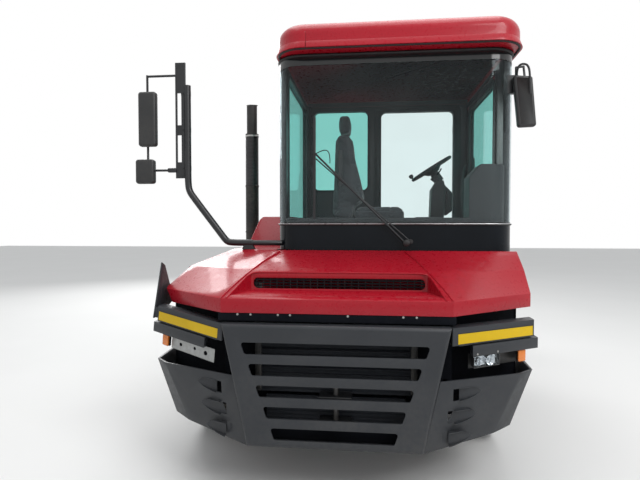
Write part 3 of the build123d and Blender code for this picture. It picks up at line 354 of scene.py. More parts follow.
def close_right(piece):
    """Turns every face outwards and leaves edit mode."""
    bpy.ops.mesh.select_all(action="SELECT")
    bpy.ops.mesh.normals_make_consistent(inside=False)
    close_edit()
    return piece


def outline(name, points, thick):
    """A flat outline through points in space, given its thickness as a step."""
    piece = loop_through(name, points, "NGON")
    bpy.ops.mesh.select_all(action="SELECT")
    bpy.ops.mesh.extrude_region_move(TRANSFORM_OT_translate={"value": tuple(thick)})
    return close_right(piece)


def lathe(name, profile, centre, direction=(0, 0, 1), steps=48, closed=True):
    """A turned piece: a profile of (along, radius) points spun about an axis."""
    piece = loop_through(name, [(radius, 0, along) for along, radius in profile], "NOTHING")
    if not closed:
        bpy.ops.mesh.select_mode(type="EDGE")
        bpy.ops.mesh.select_all(action="DESELECT")
        mesh = bmesh.from_edit_mesh(piece.data)
        last = len(profile) - 1
        for edge in mesh.edges:
            edge.select = {vertex.index for vertex in edge.verts} == {0, last}
        bmesh.update_edit_mesh(piece.data)
        bpy.ops.mesh.delete(type="EDGE_FACE")
        bpy.ops.mesh.select_mode(type="VERT")
    bpy.ops.mesh.select_all(action="SELECT")
    bpy.ops.mesh.spin(steps=steps, angle=2 * math.pi, center=(0, 0, 0), axis=(0, 0, 1))
    bpy.ops.mesh.select_all(action="SELECT")
    bpy.ops.mesh.remove_doubles(threshold=0.00005)
    close_right(piece)
    turn = Vector(direction).to_track_quat("Z", "Y").to_matrix().to_4x4()
    piece.data.transform(Matrix.Translation(centre) @ turn)
    return piece


def around(piece, count, centre, axis):
    """Repeats the piece in equal steps round an axis, in its own mesh."""
    open_edit(piece)
    bpy.ops.mesh.spin(
        steps=count - 1, dupli=True, angle=2 * math.pi * (count - 1) / count, center=centre, axis=axis
    )
    close_edit()
    return piece


def hex_bolt(name, place, direction, width=0.016, height=0.008):
    """A hexagon head on its washer."""
    end = Vector(place) + Vector(direction).normalized() * height
    base = Vector(place) + Vector(direction).normalized() * 0.002
    washer = bar(name, width * 0.62, place, base, 16)
    head = bevelled(bar(name + "_head", width / 2, base, end, 6), width * 0.07, 1, 75)
    return joined(name, [washer, head])


def rows(name, places, direction, width=0.016, height=0.008):
    """Bolts at several places as one piece."""
    return joined(name, [hex_bolt(name, place, direction, width, height) for place in places])


def swept(name, x0, x1, z0, z1, forward, depth):
    """A bar that follows the left bumper wing's sweep."""
    y0 = WING_Y - forward + (x0 - WING_X) * WING_SLOPE
    y1 = WING_Y - forward + (x1 - WING_X) * WING_SLOPE
    plan = [(x0, y0, z0), (x1, y1, z0), (x1, y1 + depth, z0), (x0, y0 + depth, z0)]
    return outline(name, plan, (0, 0, z1 - z0))


def bent_copy(piece, name):
    """The piece's copy on the right wing, which is bent up at its outer end."""
    copy = mirrored_copy(piece, name)
    pivot = Matrix.Translation((-WING_X, 0, BEND_Z))
    copy.data.transform(pivot @ Matrix.Rotation(math.radians(WING_BEND), 4, "Y") @ pivot.inverted())
    return copy


def cab_route(grow, height, back=SCREEN_BACK, steps=7):
    """Points round the cab's front at a height, from its right side to its left."""
    radius = CAB_CORNER + grow
    right = CAB_RIGHT - grow
    left = CAB_LEFT + grow
    front = CAB_FRONT - grow
    route = [(right, back, height)]
    turns = [math.pi / 2 * step / steps for step in range(steps + 1)]
    for turn in turns:
        y = front + radius - radius * math.sin(turn)
        route.append((right + radius - radius * math.cos(turn), y, height))
    for turn in turns:
        y = front + radius - radius * math.cos(turn)
        route.append((left - radius + radius * math.sin(turn), y, height))
    route.append((left, back, height))
    return route


def ring_seal(name, axis, place, across, up, radius, width, depth):
    """A rubber frame round a flat window: a plate with rounded corners, opened and given depth."""
    deselect()
    centre = ((across[0] + across[1]) / 2, (up[0] + up[1]) / 2)
    size = (across[1] - across[0] + 2 * width, up[1] - up[0] + 2 * width)
    if axis == "X":
        location = (place, centre[0], centre[1])
        rotation = (math.pi / 2, 0, math.pi / 2)
    else:
        location = (centre[0], place, centre[1])
        rotation = (math.pi / 2, 0, math.pi)
    bpy.ops.mesh.primitive_plane_add(size=1, location=location, rotation=rotation)
    piece = bpy.context.object
    piece.name = name
    piece.scale = (size[0], size[1], 1)
    apply_place(piece)
    bpy.ops.object.mode_set(mode="EDIT")
    bpy.ops.mesh.select_mode(type="VERT")
    bpy.ops.mesh.select_all(action="SELECT")
    bpy.ops.mesh.bevel(offset=radius + width, segments=8, affect="VERTICES")
    bpy.ops.mesh.select_mode(type="FACE")
    bpy.ops.mesh.select_all(action="SELECT")
    bpy.ops.mesh.inset(thickness=width + 0.004, depth=0)
    bpy.ops.mesh.delete(type="FACE")
    bpy.ops.mesh.select_all(action="SELECT")
    shift = (depth, 0, 0) if axis == "X" else (0, depth, 0)
    bpy.ops.mesh.extrude_region_move(TRANSFORM_OT_translate={"value": shift})
    return bevelled(close_right(piece), min(abs(depth), width) * 0.3, 2, 40)


class Surface:
    """A procedural finish on the piece's own coordinates."""

    def __init__(self, name, colour, roughness, metallic=0.0, coat=0.0):
        self.material = bpy.data.materials.new(name)
        self.material.use_nodes = True
        self.tree = self.material.node_tree
        self.shader = self.tree.nodes["Principled BSDF"]
        self.tune("Base Color", (*colour, 1))
        self.tune("Roughness", roughness)
        self.tune("Metallic", metallic)
        self.tune("Coat Weight", coat)
        self.tune("Coat Roughness", 0.06)
        self.place = self.tree.nodes.new("ShaderNodeTexCoord").outputs["Object"]
        self.height = None
        FINISH[name] = self.material

    def tune(self, entry, value):
        self.shader.inputs[entry].default_value = value

    def join(self, source, target):
        self.tree.links.new(source, target)

    def feed(self, target, value):
        """Links a socket to an input, or sets the input to a number or colour."""
        if isinstance(value, bpy.types.NodeSocket):
            self.join(value, target)
        else:
            target.default_value = value

    def node(self, kind, inputs):
        """A new node with its inputs fed, by their names or numbers."""
        made = self.tree.nodes.new("ShaderNode" + kind)
        for entry, value in inputs.items():
            self.feed(made.inputs[entry], value)
        return made

    def mapped(self, scale):
        return self.node("Mapping", {"Scale": scale, "Vector": self.place}).outputs["Vector"]

    def noise(self, scale, detail=4.0, stretch=(1, 1, 1)):
        inputs = {"Scale": scale, "Detail": detail, "Vector": self.mapped(stretch)}
        return self.node("TexNoise", inputs).outputs["Fac"]

    def cells(self, scale):
        return self.node("TexVoronoi", {"Scale": scale, "Vector": self.place}).outputs["Distance"]

    def bands(self, scale, direction):
        texture = self.node("TexWave", {"Scale": scale, "Vector": self.place})
        texture.bands_direction = direction
        return texture.outputs["Fac"]

    def along(self, axis):
        return self.node("SeparateXYZ", {"Vector": self.place}).outputs[axis]

    def spread(self, value, low, high, first=0.0, last=1.0):
        """Maps low..high of a value to first..last, clamped."""
        inputs = {"Value": value, "From Min": low, "From Max": high, "To Min": first, "To Max": last}
        return self.node("MapRange", inputs).outputs["Result"]

    def times(self, first, second, operation="MULTIPLY"):
        """The product of two values, or what another operation makes of them."""
        result = self.node("Math", {0: first, 1: second})
        result.operation = operation
        return result.outputs["Value"]

    def mix(self, factor, first, second):
        """A colour mix; each side is a colour or a socket."""
        mixer = self.node("Mix", {"Factor": factor})
        mixer.data_type = "RGBA"
        for number, value in ((6, first), (7, second)):
            self.feed(mixer.inputs[number], (*value, 1) if isinstance(value, tuple) else value)
        return mixer.outputs[2]

    def blend(self, factor, first, second):
        """A mix of two shaders."""
        inputs = {"Fac": factor, 1: first.outputs[0], 2: second.outputs[0]}
        return self.node("MixShader", inputs)

    def paint(self, source):
        self.join(source, self.shader.inputs["Base Color"])
        return source

    def perforate(self, centre, radius, pitch):
        """Staggered round holes round an upright tube, drawn near-black as painted shade, with a shallow
        dent.
        """
        x = self.times(self.along("X"), centre[0], "SUBTRACT")
        y = self.times(self.along("Y"), centre[1], "SUBTRACT")
        turn = self.times(self.times(y, x, "ARCTAN2"), radius / pitch)
        row = self.times(self.along("Z"), 1 / pitch)
        step = self.times(self.times(self.times(row, 0, "FLOOR"), 2, "FLOORED_MODULO"), 0.5)
        across = self.times(self.times(self.times(turn, step, "ADD"), 0, "FRACT"), 0.5, "SUBTRACT")
        up = self.times(self.times(row, 0, "FRACT"), 0.5, "SUBTRACT")
        away = self.times(self.times(self.times(across, across), self.times(up, up), "ADD"), 0.5, "POWER")
        # The holes are near-black paint: painted shade in place of open holes
        hole = self.spread(away, 0.27, 0.33, 1.0, 0.0)
        plain = self.shader.inputs["Base Color"].links[0].from_socket
        self.paint(self.mix(hole, plain, (0.004, 0.004, 0.004)))
        self.bump(hole, 0.6, -0.002)

    def rough(self, value, low, high):
        self.join(self.spread(value, 0.3, 0.7, low, high), self.shader.inputs["Roughness"])

    def bump(self, height, strength, distance):
        """Adds a layer of relief under the ones before."""
        inputs = {"Strength": strength, "Distance": distance, "Height": height}
        if self.height:
            inputs["Normal"] = self.height
        self.height = self.node("Bump", inputs).outputs["Normal"]
        self.join(self.height, self.shader.inputs["Normal"])


# The colour of the dust that settles on every surface
DUST = (0.24, 0.21, 0.17)


def weathered(
    name, colour, roughness, metallic=0.0, coat=0.0, grain=0.0, grain_scale=600,
    dust=0.3, ceiling=1.2, vary=0.15,
):
    """A finish with tone drift, dust that gathers below the ceiling height, and a fine grain."""
    surface = Surface(name, colour, roughness, metallic, coat)
    drift = surface.noise(3.0, 5)
    fine = surface.noise(38.0, 6)
    low_down = surface.spread(surface.along("Z"), 0.1, ceiling, 1.0, 0.12)
    patches = surface.spread(surface.times(drift, fine), 0.16, 0.42, 0.0, 1.0)
    amount = surface.times(surface.times(patches, low_down), dust)
    dark = tuple(part * (1 - vary) for part in colour)
    pale = tuple(part * (1 + vary * 0.7) for part in colour)
    toned = surface.mix(surface.spread(drift, 0.35, 0.65), dark, pale)
    surface.paint(surface.mix(amount, toned, DUST))
    surface.rough(fine, max(0.05, roughness - 0.07), roughness + 0.10)
    if grain:
        surface.bump(surface.noise(grain_scale, 3), grain, 0.0006)
    return surface


def glass_surface(name, tint, dirt=0.03, band=None):
    """Thin tinted glass: see-through, mirroring by angle, with a film of dust and a dark band for the black
    gasket and for painted shade under the roof's lip.
    """
    surface = Surface(name, tint, 0.05)
    clear = surface.node("BsdfTransparent", {"Color": (*tint, 1)})
    gloss = surface.node("BsdfGlossy", {"Roughness": 0.02, "Color": (0.78, 0.84, 0.88, 1)})
    facing = surface.node("LayerWeight", {"Blend": 0.5}).outputs["Facing"]
    steep = surface.times(facing, 4.5, "POWER")
    pane = surface.blend(surface.spread(steep, 0, 1, 0.012, 0.56), clear, gloss)
    film = surface.spread(surface.times(surface.noise(1.4, 2), surface.noise(5, 2)), 0.15, 0.4, 0.0, dirt)
    shown = surface.blend(film, pane, surface.node("BsdfDiffuse", {"Color": (0.5, 0.5, 0.48, 1)}))
    # Outside the clear height the glass turns near-black: the gasket's black, and painted shade under the
    # roof's lip
    if band:
        surface.tune("Base Color", (0.012, 0.014, 0.015, 1))
        surface.tune("Roughness", 0.12)
        height = surface.along("Z")
        low = surface.spread(height, band[0] - 0.004, band[0], 1.0, 0.0)
        high = surface.spread(height, band[1], band[1] + 0.004, 0.0, 1.0)
        shown = surface.blend(surface.times(low, high, "MAXIMUM"), shown, surface.shader)
    surface.join(shown.outputs["Shader"], surface.tree.nodes["Material Output"].inputs["Surface"])
    return surface


def make_finishes(colours):
    """Every finish of the tractor, by the record's slots and the trim's own names."""
    red = weathered("red_paint", tuple(colours.body_red), 0.30, coat=0.18, dust=0.04, ceiling=2.2, vary=0.04)
    red.tune("Specular IOR Level", 0.24)
    bumper = weathered(
        "bumper_grey", tuple(colours.bumper_grey), 0.42, grain=0.08, grain_scale=900, dust=0.09, vary=0.08
    )
    bumper.tune("Specular IOR Level", 0.35)
    bumper.bump(bumper.noise(24, 3, (1, 1, 14)), 0.03, 0.0006)
    weathered("chassis_paint", tuple(colours.chassis_grey), 0.5, grain=0.12, grain_scale=240, dust=0.75)
    weathered("black_plastic", (0.017, 0.018, 0.019), 0.46, grain=0.14, grain_scale=800, dust=0.45)
    weathered("black_frame", (0.010, 0.011, 0.013), 0.36, dust=0.06)
    # Near-black with little gloss: painted shade, for the front beam under the hood's lip and for the sheets
    # behind the lamps and the bumper's slots
    shade = weathered("shade_black", (0.003, 0.004, 0.007), 0.85, dust=0.02)
    shade.tune("Specular IOR Level", 0.15)
    panel = weathered("black_gloss", (0.003, 0.005, 0.008), 0.12, dust=0.02, ceiling=2.0)
    panel.tune("Specular IOR Level", 0.15)
    weathered("seal_rubber", (0.010, 0.010, 0.011), 0.62, grain=0.10, grain_scale=700, dust=0.2)
    weathered("trim_grey", (0.024, 0.024, 0.027), 0.62, dust=0.03)
    weathered("trim_dark", (0.022, 0.023, 0.025), 0.58, grain=0.18, grain_scale=900, dust=0.15)
    weathered("engine_iron", (0.10, 0.105, 0.11), 0.55, 0.2, grain=0.3, grain_scale=160, dust=0.7)
    weathered(
        "stack_black", (0.020, 0.020, 0.021), 0.55, 0.3, grain=0.2, grain_scale=300, dust=0.5, ceiling=3.0
    )
    weathered("tank_alloy", (0.55, 0.56, 0.57), 0.34, 0.9, grain=0.05, grain_scale=120, dust=0.35)
    weathered("step_steel", (0.05, 0.052, 0.055), 0.5, 0.3, grain=0.2, grain_scale=260, dust=0.6)
    weathered("spring_steel", (0.035, 0.034, 0.033), 0.6, 0.3, grain=0.25, grain_scale=200, dust=0.7)
    weathered("rim_paint", tuple(colours.rim_silver), 0.38, 0.5, grain=0.08, grain_scale=300, dust=0.5)
    weathered(
        "coupling_iron", (0.045, 0.043, 0.040), 0.42, 0.6, grain=0.35, grain_scale=90, dust=0.35, ceiling=2.0
    )
    weathered("bolt_zinc", (0.42, 0.42, 0.41), 0.38, 0.9, grain=0.1, grain_scale=400, dust=0.4, ceiling=2.0)
    weathered("bracket_galvanised", (0.36, 0.37, 0.37), 0.5, 0.75, grain=0.1, grain_scale=200, dust=0.6)
    weathered("rod_chrome", (0.72, 0.73, 0.75), 0.10, 1.0, dust=0.1)
    weathered("lamp_chrome", (0.66, 0.67, 0.69), 0.17, 1.0, dust=0.02)
    weathered("mirror_glass", (0.75, 0.77, 0.78), 0.03, 1.0, dust=0.02)
    amber = weathered("amber_lens", (0.90, 0.24, 0.01), 0.15, coat=0.6, dust=0.1)
    amber.tune("Transmission Weight", 0.25)
    lamp_red = weathered("lamp_red", (0.42, 0.010, 0.010), 0.16, coat=0.6, dust=0.3)
    lamp_red.tune("Transmission Weight", 0.25)
    clear = weathered("lamp_clear", (0.9, 0.92, 0.93), 0.06, dust=0.03)
    clear.tune("Transmission Weight", 0.9)
    clear.bump(clear.bands(26, "X"), 0.25, 0.001)
    core = weathered("cooler", (0.006, 0.009, 0.015), 0.5, 0.3, dust=0.06)
    core.bump(core.bands(70, "X"), 0.7, 0.002)
    core.bump(core.bands(14, "Z"), 0.5, 0.003)
    tape = weathered("yellow_stripe", tuple(colours.stripe_yellow), 0.40, dust=0.16, ceiling=1.4, vary=0.10)
    tape.tune("Specular IOR Level", 0.25)
    tape.bump(tape.cells(420), 0.25, 0.0004)
    tyre = weathered("tyre", (0.018, 0.018, 0.019), 0.72, grain=0.3, grain_scale=420, dust=0.55)
    tyre.bump(tyre.noise(60, 4), 0.12, 0.0015)
    cloth = Surface("seat_fabric", tuple(colours.seat_cloth), 0.9)
    cloth.tune("Sheen Weight", 0.4)
    weave = cloth.times(cloth.bands(260, "Y"), cloth.bands(260, "Z"))
    dark = tuple(c * 0.55 for c in colours.seat_cloth)
    light = tuple(c * 1.7 for c in colours.seat_cloth)
    cloth.paint(cloth.mix(cloth.times(weave, cloth.noise(14, 4)), dark, light))
    cloth.bump(weave, 0.35, 0.0008)
    cloth.bump(cloth.noise(26, 3), 0.25, 0.003)
    glass_surface("tinted_glass", tuple(colours.glass_tint), 0.012)
    glass_surface("clear_glass", (0.93, 0.97, 0.97), 0.008)
    glass_surface("screen_glass", (0.92, 0.96, 0.96), 0.010, SCREEN_CLEAR)
    lens = glass_surface("lens_glass", (0.95, 0.97, 0.98), 0.01)
    lens.bump(lens.bands(30, "X"), 0.12, 0.0006)
    guard = weathered("guard_perforated", (0.060, 0.058, 0.062), 0.40, 0.6, dust=0.08, ceiling=3.0)
    guard.perforate(STACK, SLEEVE_RADIUS, HOLE_PITCH)
    weathered("pin_steel", (0.06, 0.06, 0.063), 0.42, 0.7, grain=0.1, grain_scale=300, dust=0.3)
    weathered("grease_dark", (0.018, 0.016, 0.012), 0.25, coat=0.4, dust=0.1, ceiling=2.0)
    weathered("bead_bright", (0.60, 0.61, 0.62), 0.30, 0.8, dust=0.05, ceiling=2.0)


# The nodes whose finish differs from their slot's; the front beam under the hood's lip takes the near-black
# that paints the shade there
OWN_FINISH = {
    "windscreen": "screen_glass", "door_rear_glass": "clear_glass", "front_beam": "shade_black",
    "hood_grille": "black_gloss",
}


class TRACTOR_OT_finishes(bpy.types.Operator):
    """Makes the finishes and paints the CAD pieces with them"""

    bl_idname = "tractor.finishes"
    bl_label = "Finishes"

    def execute(self, context):
        make_finishes(context.scene.tractor_colours)
        for name, node in frame["nodes"].items():
            node.data.materials.clear()
            node.data.materials.append(FINISH[OWN_FINISH.get(name, SLOT_OF[name])])
        return {"FINISHED"}


# The nodes whose real edges are rounded: the rounding's width and its segments
ROUNDED = (
    ("hood", 0.016, 3), ("bumper_grille", 0.009, 3), ("corner_mouldings", 0.010, 3),
    ("bumper_wing_left", 0.006, 2), ("front_beam", 0.003, 1), ("rear_cowl", 0.014, 3), ("roof", 0.012, 3),
    ("battery_box", 0.008, 2), ("fuel_tank", 0.004, 2), ("cab_steps", 0.003, 1), ("fenders", 0.0015, 1),
    ("door_left", 0.006, 2), ("door_rear", 0.006, 2), ("cab_side_left", 0.004, 1),
    ("cab_side_right", 0.004, 1), ("cab_rear_wall", 0.004, 1), ("cab_front_panel", 0.003, 1),
    ("cab_trim", 0.008, 2), ("boom", 0.005, 2), ("fifth_wheel", 0.005, 2), ("frame_rails", 0.003, 2),
    ("cross_members", 0.003, 1), ("station_platform", 0.008, 2), ("front_axle", 0.005, 1),
    ("rear_axle", 0.004, 1), ("engine", 0.012, 2), ("cab_mounts", 0.003, 1), ("mirror_arms", 0.002, 1),
    ("wiper", 0.002, 1), ("leaf_springs", 0.003, 1),
)


class TRACTOR_OT_edges(bpy.types.Operator):
    """Rounds the real edges of the panels and castings"""

    bl_idname = "tractor.edges"
    bl_label = "Rounded edges"

    def execute(self, context):
        for node, width, segments in ROUNDED:
            rounded_node(node, width, segments)
        return {"FINISHED"}


class TRACTOR_OT_stage(bpy.types.Operator):
    """Sets the floor, the lights, the background and the camera"""

    bl_idname = "tractor.stage"
    bl_label = "Stage"

    def execute(self, context):
        scene = context.scene
        scene.view_settings.view_transform = "Standard"
        deselect()
        bpy.ops.mesh.primitive_grid_add(x_subdivisions=4, y_subdivisions=4, size=60, location=(0, 0, 0))
        floor = context.object
        floor.name = "floor"
        surface = Surface("floor_pale", (0.80, 0.80, 0.79), 0.75)
        surface.paint(surface.mix(surface.noise(0.6, 4), (0.78, 0.78, 0.77), (0.83, 0.83, 0.82)))
        floor.data.materials.append(surface.material)
        world = bpy.data.worlds.new("studio")
        scene.world = world
        world.use_nodes = True
        nodes = world.node_tree.nodes
        links = world.node_tree.links
        light = nodes["Background"]
        light.inputs["Color"].default_value = (0.96, 0.98, 1.0, 1)
        light.inputs["Strength"].default_value = 0.60
        shown = nodes.new("ShaderNodeBackground")
        shown.inputs["Color"].default_value = (1, 1, 1, 1)
        shown.inputs["Strength"].default_value = 1.0
        path = nodes.new("ShaderNodeLightPath")
        white = path.outputs["Is Camera Ray"]
        for ray in ("Is Glossy Ray", "Is Transmission Ray"):
            either = nodes.new("ShaderNodeMath")
            either.operation = "MAXIMUM"
            links.new(white, either.inputs[0])
            links.new(path.outputs[ray], either.inputs[1])
            white = either.outputs["Value"]
        mixer = nodes.new("ShaderNodeMixShader")
        links.new(white, mixer.inputs["Fac"])
        links.new(light.outputs["Background"], mixer.inputs[1])
        links.new(shown.outputs["Background"], mixer.inputs[2])
        links.new(mixer.outputs["Shader"], nodes["World Output"].inputs["Surface"])
        for name, place, aim, size, power in (
            ("key", (4.5, -8.5, 6.5), (0, -3.5, 1.4), 4.0, 330),
            ("top", (0.0, -2.5, 8.0), (0, -2.2, 0.0), 6.0, 270),
            ("rear", (-5.0, 5.5, 5.5), (0, -1.5, 1.2), 4.0, 300),
        ):
            deselect()
            bpy.ops.object.light_add(type="AREA", location=place)
            lamp = context.object
            lamp.name = name + "_light"
            lamp.data.size = size
            lamp.data.energy = power
            lamp.rotation_euler = (Vector(aim) - Vector(place)).to_track_quat("-Z", "Y").to_euler()
        deselect()
        turn = Euler((math.radians(88.3), 0, math.radians(6.0)))
        bpy.ops.object.camera_add(location=(0.21, -7.28, 1.67), rotation=turn)
        camera = context.object
        camera.data.lens = 27.0
        camera.data.sensor_width = 36.0
        scene.camera = camera
        return {"FINISHED"}


def loose_pieces(node):
    """The CAD node's separate solids as pieces of their own, merged, from right to left."""
    open_edit(merged_copy(node, "_solid"))
    bpy.ops.mesh.separate(type="LOOSE")
    close_edit()

    def middle(piece):
        return sum(vertex.co.x for vertex in piece.data.vertices) / len(piece.data.vertices)

    return sorted(bpy.context.selected_objects, key=middle)


def extent(piece):
    """The lowest and highest corners of a piece's points."""
    spots = [vertex.co for vertex in piece.data.vertices]
    low = Vector([min(spot[axis] for spot in spots) for axis in range(3)])
    high = Vector([max(spot[axis] for spot in spots) for axis in range(3)])
    return low, high


def on_wing(x, height, forward):
    """A point on the left wing's front face, or in front of it."""
    return Vector((x, WING_Y - forward + (x - WING_X) * WING_SLOPE, height))


# The lamps in their bar: from and to across the vehicle, from and to in height
HEADLAMP = (0.810, 0.984, 0.838, 0.912)
INDICATOR = (1.110, 1.168, 0.832, 0.912)


def headlamp():
    """The left headlamp: dark case, two bright bowls with their bulbs, and the clear lens."""
    x0, x1, z0, z1 = HEADLAMP
    case = swept("headlamp_case", x0, x1, z0, z1, -0.004, 0.070)
    edit_faces(case, lambda face: face.normal.dot(WING_NORMAL) > 0.95)
    bpy.ops.mesh.inset(thickness=0.006)
    bpy.ops.mesh.extrude_region_move(TRANSFORM_OT_translate={"value": tuple(WING_NORMAL * -0.034)})
    close_edit()
    finish(bevelled(case, 0.003), "black_plastic", replaces=("front_lamps",))
    dish = [
        (-0.024, 0), (-0.023, 0.35), (-0.016, 0.72), (0.001, 1.0), (0.002, 1.05), (-0.028, 1.05), (-0.028, 0),
    ]
    bulb = [(-0.020, 0), (-0.020, 0.006), (-0.008, 0.006), (-0.005, 0.004), (-0.004, 0)]
    bowls = []
    for x, size in ((0.918, 0.0300), (0.847, 0.0215)):
        place = on_wing(x, (z0 + z1) / 2, -0.010)
        bowl = [(along, share * size) for along, share in dish]
        bowls.append(lathe("bowl", bowl, place, WING_NORMAL, 32, False))
        bowls.append(lathe("bulb", bulb, place, WING_NORMAL, 16, False))
    bowls.append(swept("tray", x0 + 0.007, x1 - 0.007, z0 + 0.007, z1 - 0.007, -0.026, 0.006))
    finish(joined("headlamp_bowls", bowls), "lamp_chrome")
    lens = swept("headlamp_lens", x0 + 0.0045, x1 - 0.0045, z0 + 0.0045, z1 - 0.0045, -0.0045, 0.004)
    finish(bevelled(lens, 0.0015), "lens_glass")
    carrier = swept("lamp_carrier", 0.790, 1.170, 0.820, 0.9118, -0.075, 0.016)
    finish(bevelled(carrier, 0.004), "black_plastic")
    places = [on_wing(x, z1 + 0.012, 0.008) for x in (x0 + 0.02, x1 - 0.02)]
    zinc(rows("headlamp_screws", places, WING_NORMAL, 0.010, 0.004))


def indicators():
    """The amber indicators under the ends of both lamp bars."""
    x0, x1, z0, z1 = INDICATOR
    base = swept("indicator_base", x0, x1, z0, z1, -0.030, 0.028)
    lens = swept("indicator_lens", x0 + 0.002, x1 - 0.002, z0 + 0.003, z1 - 0.003, -0.0045, 0.025)
    bevelled(base, 0.003)
    bevelled(lens, 0.008, 4)
    for piece, name, slot in ((base, "black_plastic", None), (lens, "amber_lens", "lamp_red")):
        finish(bent_copy(piece, piece.name + "_right"), name)
        finish(piece, name)


def right_wing():
    """The bent right wing with its fin, and the bare bracket of the missing headlamp in zinc."""
    pieces = loose_pieces("bumper_wing_right")
    bracket = min(pieces, key=lambda piece: extent(piece)[1].z)
    covered = ("bumper_wing_right",)
    for number, piece in enumerate(pieces):
        if piece is bracket:
            bevelled(piece, 0.001)
            piece.name = "bare_lamp_bracket"
            finish(piece, "bracket_galvanised")
        else:
            bevelled(piece, 0.005)
            piece.name = f"right_wing_{number}"
            finish(piece, "bumper_grey", replaces=covered)
            covered = ()


def stripe_edge_shade():
    """Thin dark beads above and below the reflective stripes, which paint the shade in the gaps along the
    stripes' edges.
    """
    # Dark lines along the stripes' edges: painted shade in the gaps there
    beads = [swept("bead", 0.709, 1.213, z, z + 0.0022, 0.0012, 0.004) for z in (0.9905, 1.0525)]
    left = joined("stripe_shade_beads", beads)
    rubber(bent_copy(left, "stripe_shade_beads_right"))
    rubber(left)


def hood_details():
    """The hood's bolts along its band, the ribs in its slot, and its side latches."""
    rest = span("front_beam")[0].y
    places = [(x, rest, HOOD_BOLT_Z) for x in (-0.58, -0.50, -0.335, -0.262, 0.08, 0.40, 0.476)]
    zinc(rows("hood_bolts", places, (0, -1, 0), 0.011, 0.006))
    low, high = span("hood_grille")
    ribs = []
    for step in range(25):
        x = low.x + 0.03 + (high.x - low.x - 0.06) * step / 24
        start = (x - 0.0015, low.y + 0.004, low.z + 0.008)
        ribs.append(block("rib", start, (x + 0.0015, low.y + 0.014, high.z - 0.008)))
    finish(joined("hood_slot_ribs", ribs), "black_plastic")
    latches = []
    for y in (-3.62, -3.05):
        latches.append(pad("latch", (-1.2095, y - 0.022, 1.27), (-1.199, y + 0.022, 1.35), 0.004))
        latches.append(bar("pull", 0.007, (-1.208, y, 1.262), (-1.208, y, 1.30), 12))
    rubber(joined("hood_latches", latches))


def shade_panels():
    """The arch liners behind the lamps and the dark panels behind the bumper's slots, near-black sheets that
    paint the shade behind the lamps and the slots.
    """
    for side, word in SIDES:
        liner = swept("liner", 0.655, 1.170, 0.500, 1.138, -0.240, 0.006)
        stay = block("stay", (0.645, -4.345, 0.70), (0.672, -4.258, 0.745))
        outer = block("cheek", (1.166, -3.995, 0.56), (1.172, -3.900, 1.138))
        baffle = block("baffle", (0.424, -4.362, 0.420), (0.646, -4.350, 1.070))
        piece = joined(f"arch_liner_{word}", [liner, stay, outer, baffle])
        if side < 0:
            turned = mirrored_copy(piece, piece.name + "_panel")
            bpy.data.objects.remove(piece)
            piece = turned
        finish(piece, "shade_black")
    sill = block("lower_baffle", (-0.46, -4.4445, 0.372), (0.46, -4.4385, 0.470))
    rear = block("sill_stay", (-0.46, -4.4445, 0.372), (0.46, -4.400, 0.378))
    finish(joined("lower_baffle", [sill, rear]), "shade_black")


def hood_beads():
    """The moulded beads along the hood's creases and round its scoop, a little proud of the sheet."""
    crease = [
        (0.683, -4.492, 1.236), (0.650, -4.36, 1.291), (0.575, -4.15, 1.3765), (0.52, -3.95, 1.434),
        (0.455, -3.785, 1.4855),
    ]
    left = tube("hood_crease_left", crease, 0.0055)
    finish(mirrored_copy(left, "hood_crease_right"), "red_paint")
    finish(left, "red_paint")
    half = [
        (-0.648, -4.490, 1.2365), (-0.612, -4.34, 1.297), (-0.585, -4.215, 1.349), (-0.555, -4.182, 1.3625),
        (-0.50, -4.178, 1.3645),
    ]
    lip = half + [(0.0, -4.178, 1.3645)] + [(-x, y, z) for x, y, z in reversed(half)]
    finish(tube("scoop_lip", lip, 0.0065), "red_paint")


def tow_jaw():
    """The front towing jaw with its pin, seen between the bumper's bars."""
    x = 0.010
    y = -4.47
    plates = []
    for z in (0.505, 0.655):
        plates.append(pad("plate", (-0.09, y - 0.05, z), (0.105, y + 0.14, z + 0.016), 0.004))
    plates.append(block("back", (-0.06, y + 0.10, 0.505), (0.075, y + 0.125, 0.671)))
    finish(joined("tow_jaw", plates), "black_frame")
    pin = bar("tow_pin", 0.016, (x, y, 0.47), (x, y, 0.715), 20)
    knob = [(0, 0), (0, 0.024), (0.012, 0.024), (0.016, 0.018), (0.016, 0)]
    head = lathe("tow_pin_head", knob, (x, y, 0.712), closed=False)
    route = [(x, y, 0.724), (x - 0.028, y, 0.745), (x, y, 0.768), (x + 0.028, y, 0.745)]
    loop = tube("tow_pin_loop", route, 0.005, closed=True)
    finish(joined("tow_pin", [pin, head, loop]), "pin_steel")


def cooling():
    """The cooler's side tanks, fins and hoses behind the slots."""
    low, high = span("radiator")
    tanks = []
    for side in (-1, 1):
        x0, x1 = sorted((side * (high.x - 0.03), side * (high.x + 0.012)))
        tanks.append(pad("tank", (x0, low.y - 0.006, 0.66), (x1, high.y + 0.01, 1.045), 0.010, 3))
    finish(joined("cooler_tanks", tanks), "black_plastic")
    slats = []
    for step in range(9):
        z = 0.70 + step * 0.036
        start = (low.x + 0.03, low.y - 0.004, z)
        slats.append(block("slat", start, (high.x - 0.03, low.y + 0.008, z + 0.003)))
    finish(joined("cooler_slats", slats), "cooler")
    upper = [(0.40, -4.28, 1.0), (0.40, -4.20, 1.02), (0.36, -4.08, 1.03), (0.28, -3.95, 1.02)]
    lower = [(-0.40, -4.28, 0.70), (-0.40, -4.18, 0.68), (-0.35, -4.06, 0.66), (-0.26, -3.95, 0.68)]
    rubber(joined("cooling_hoses", [tube("upper_hose", upper, 0.026), tube("lower_hose", lower, 0.028)]))


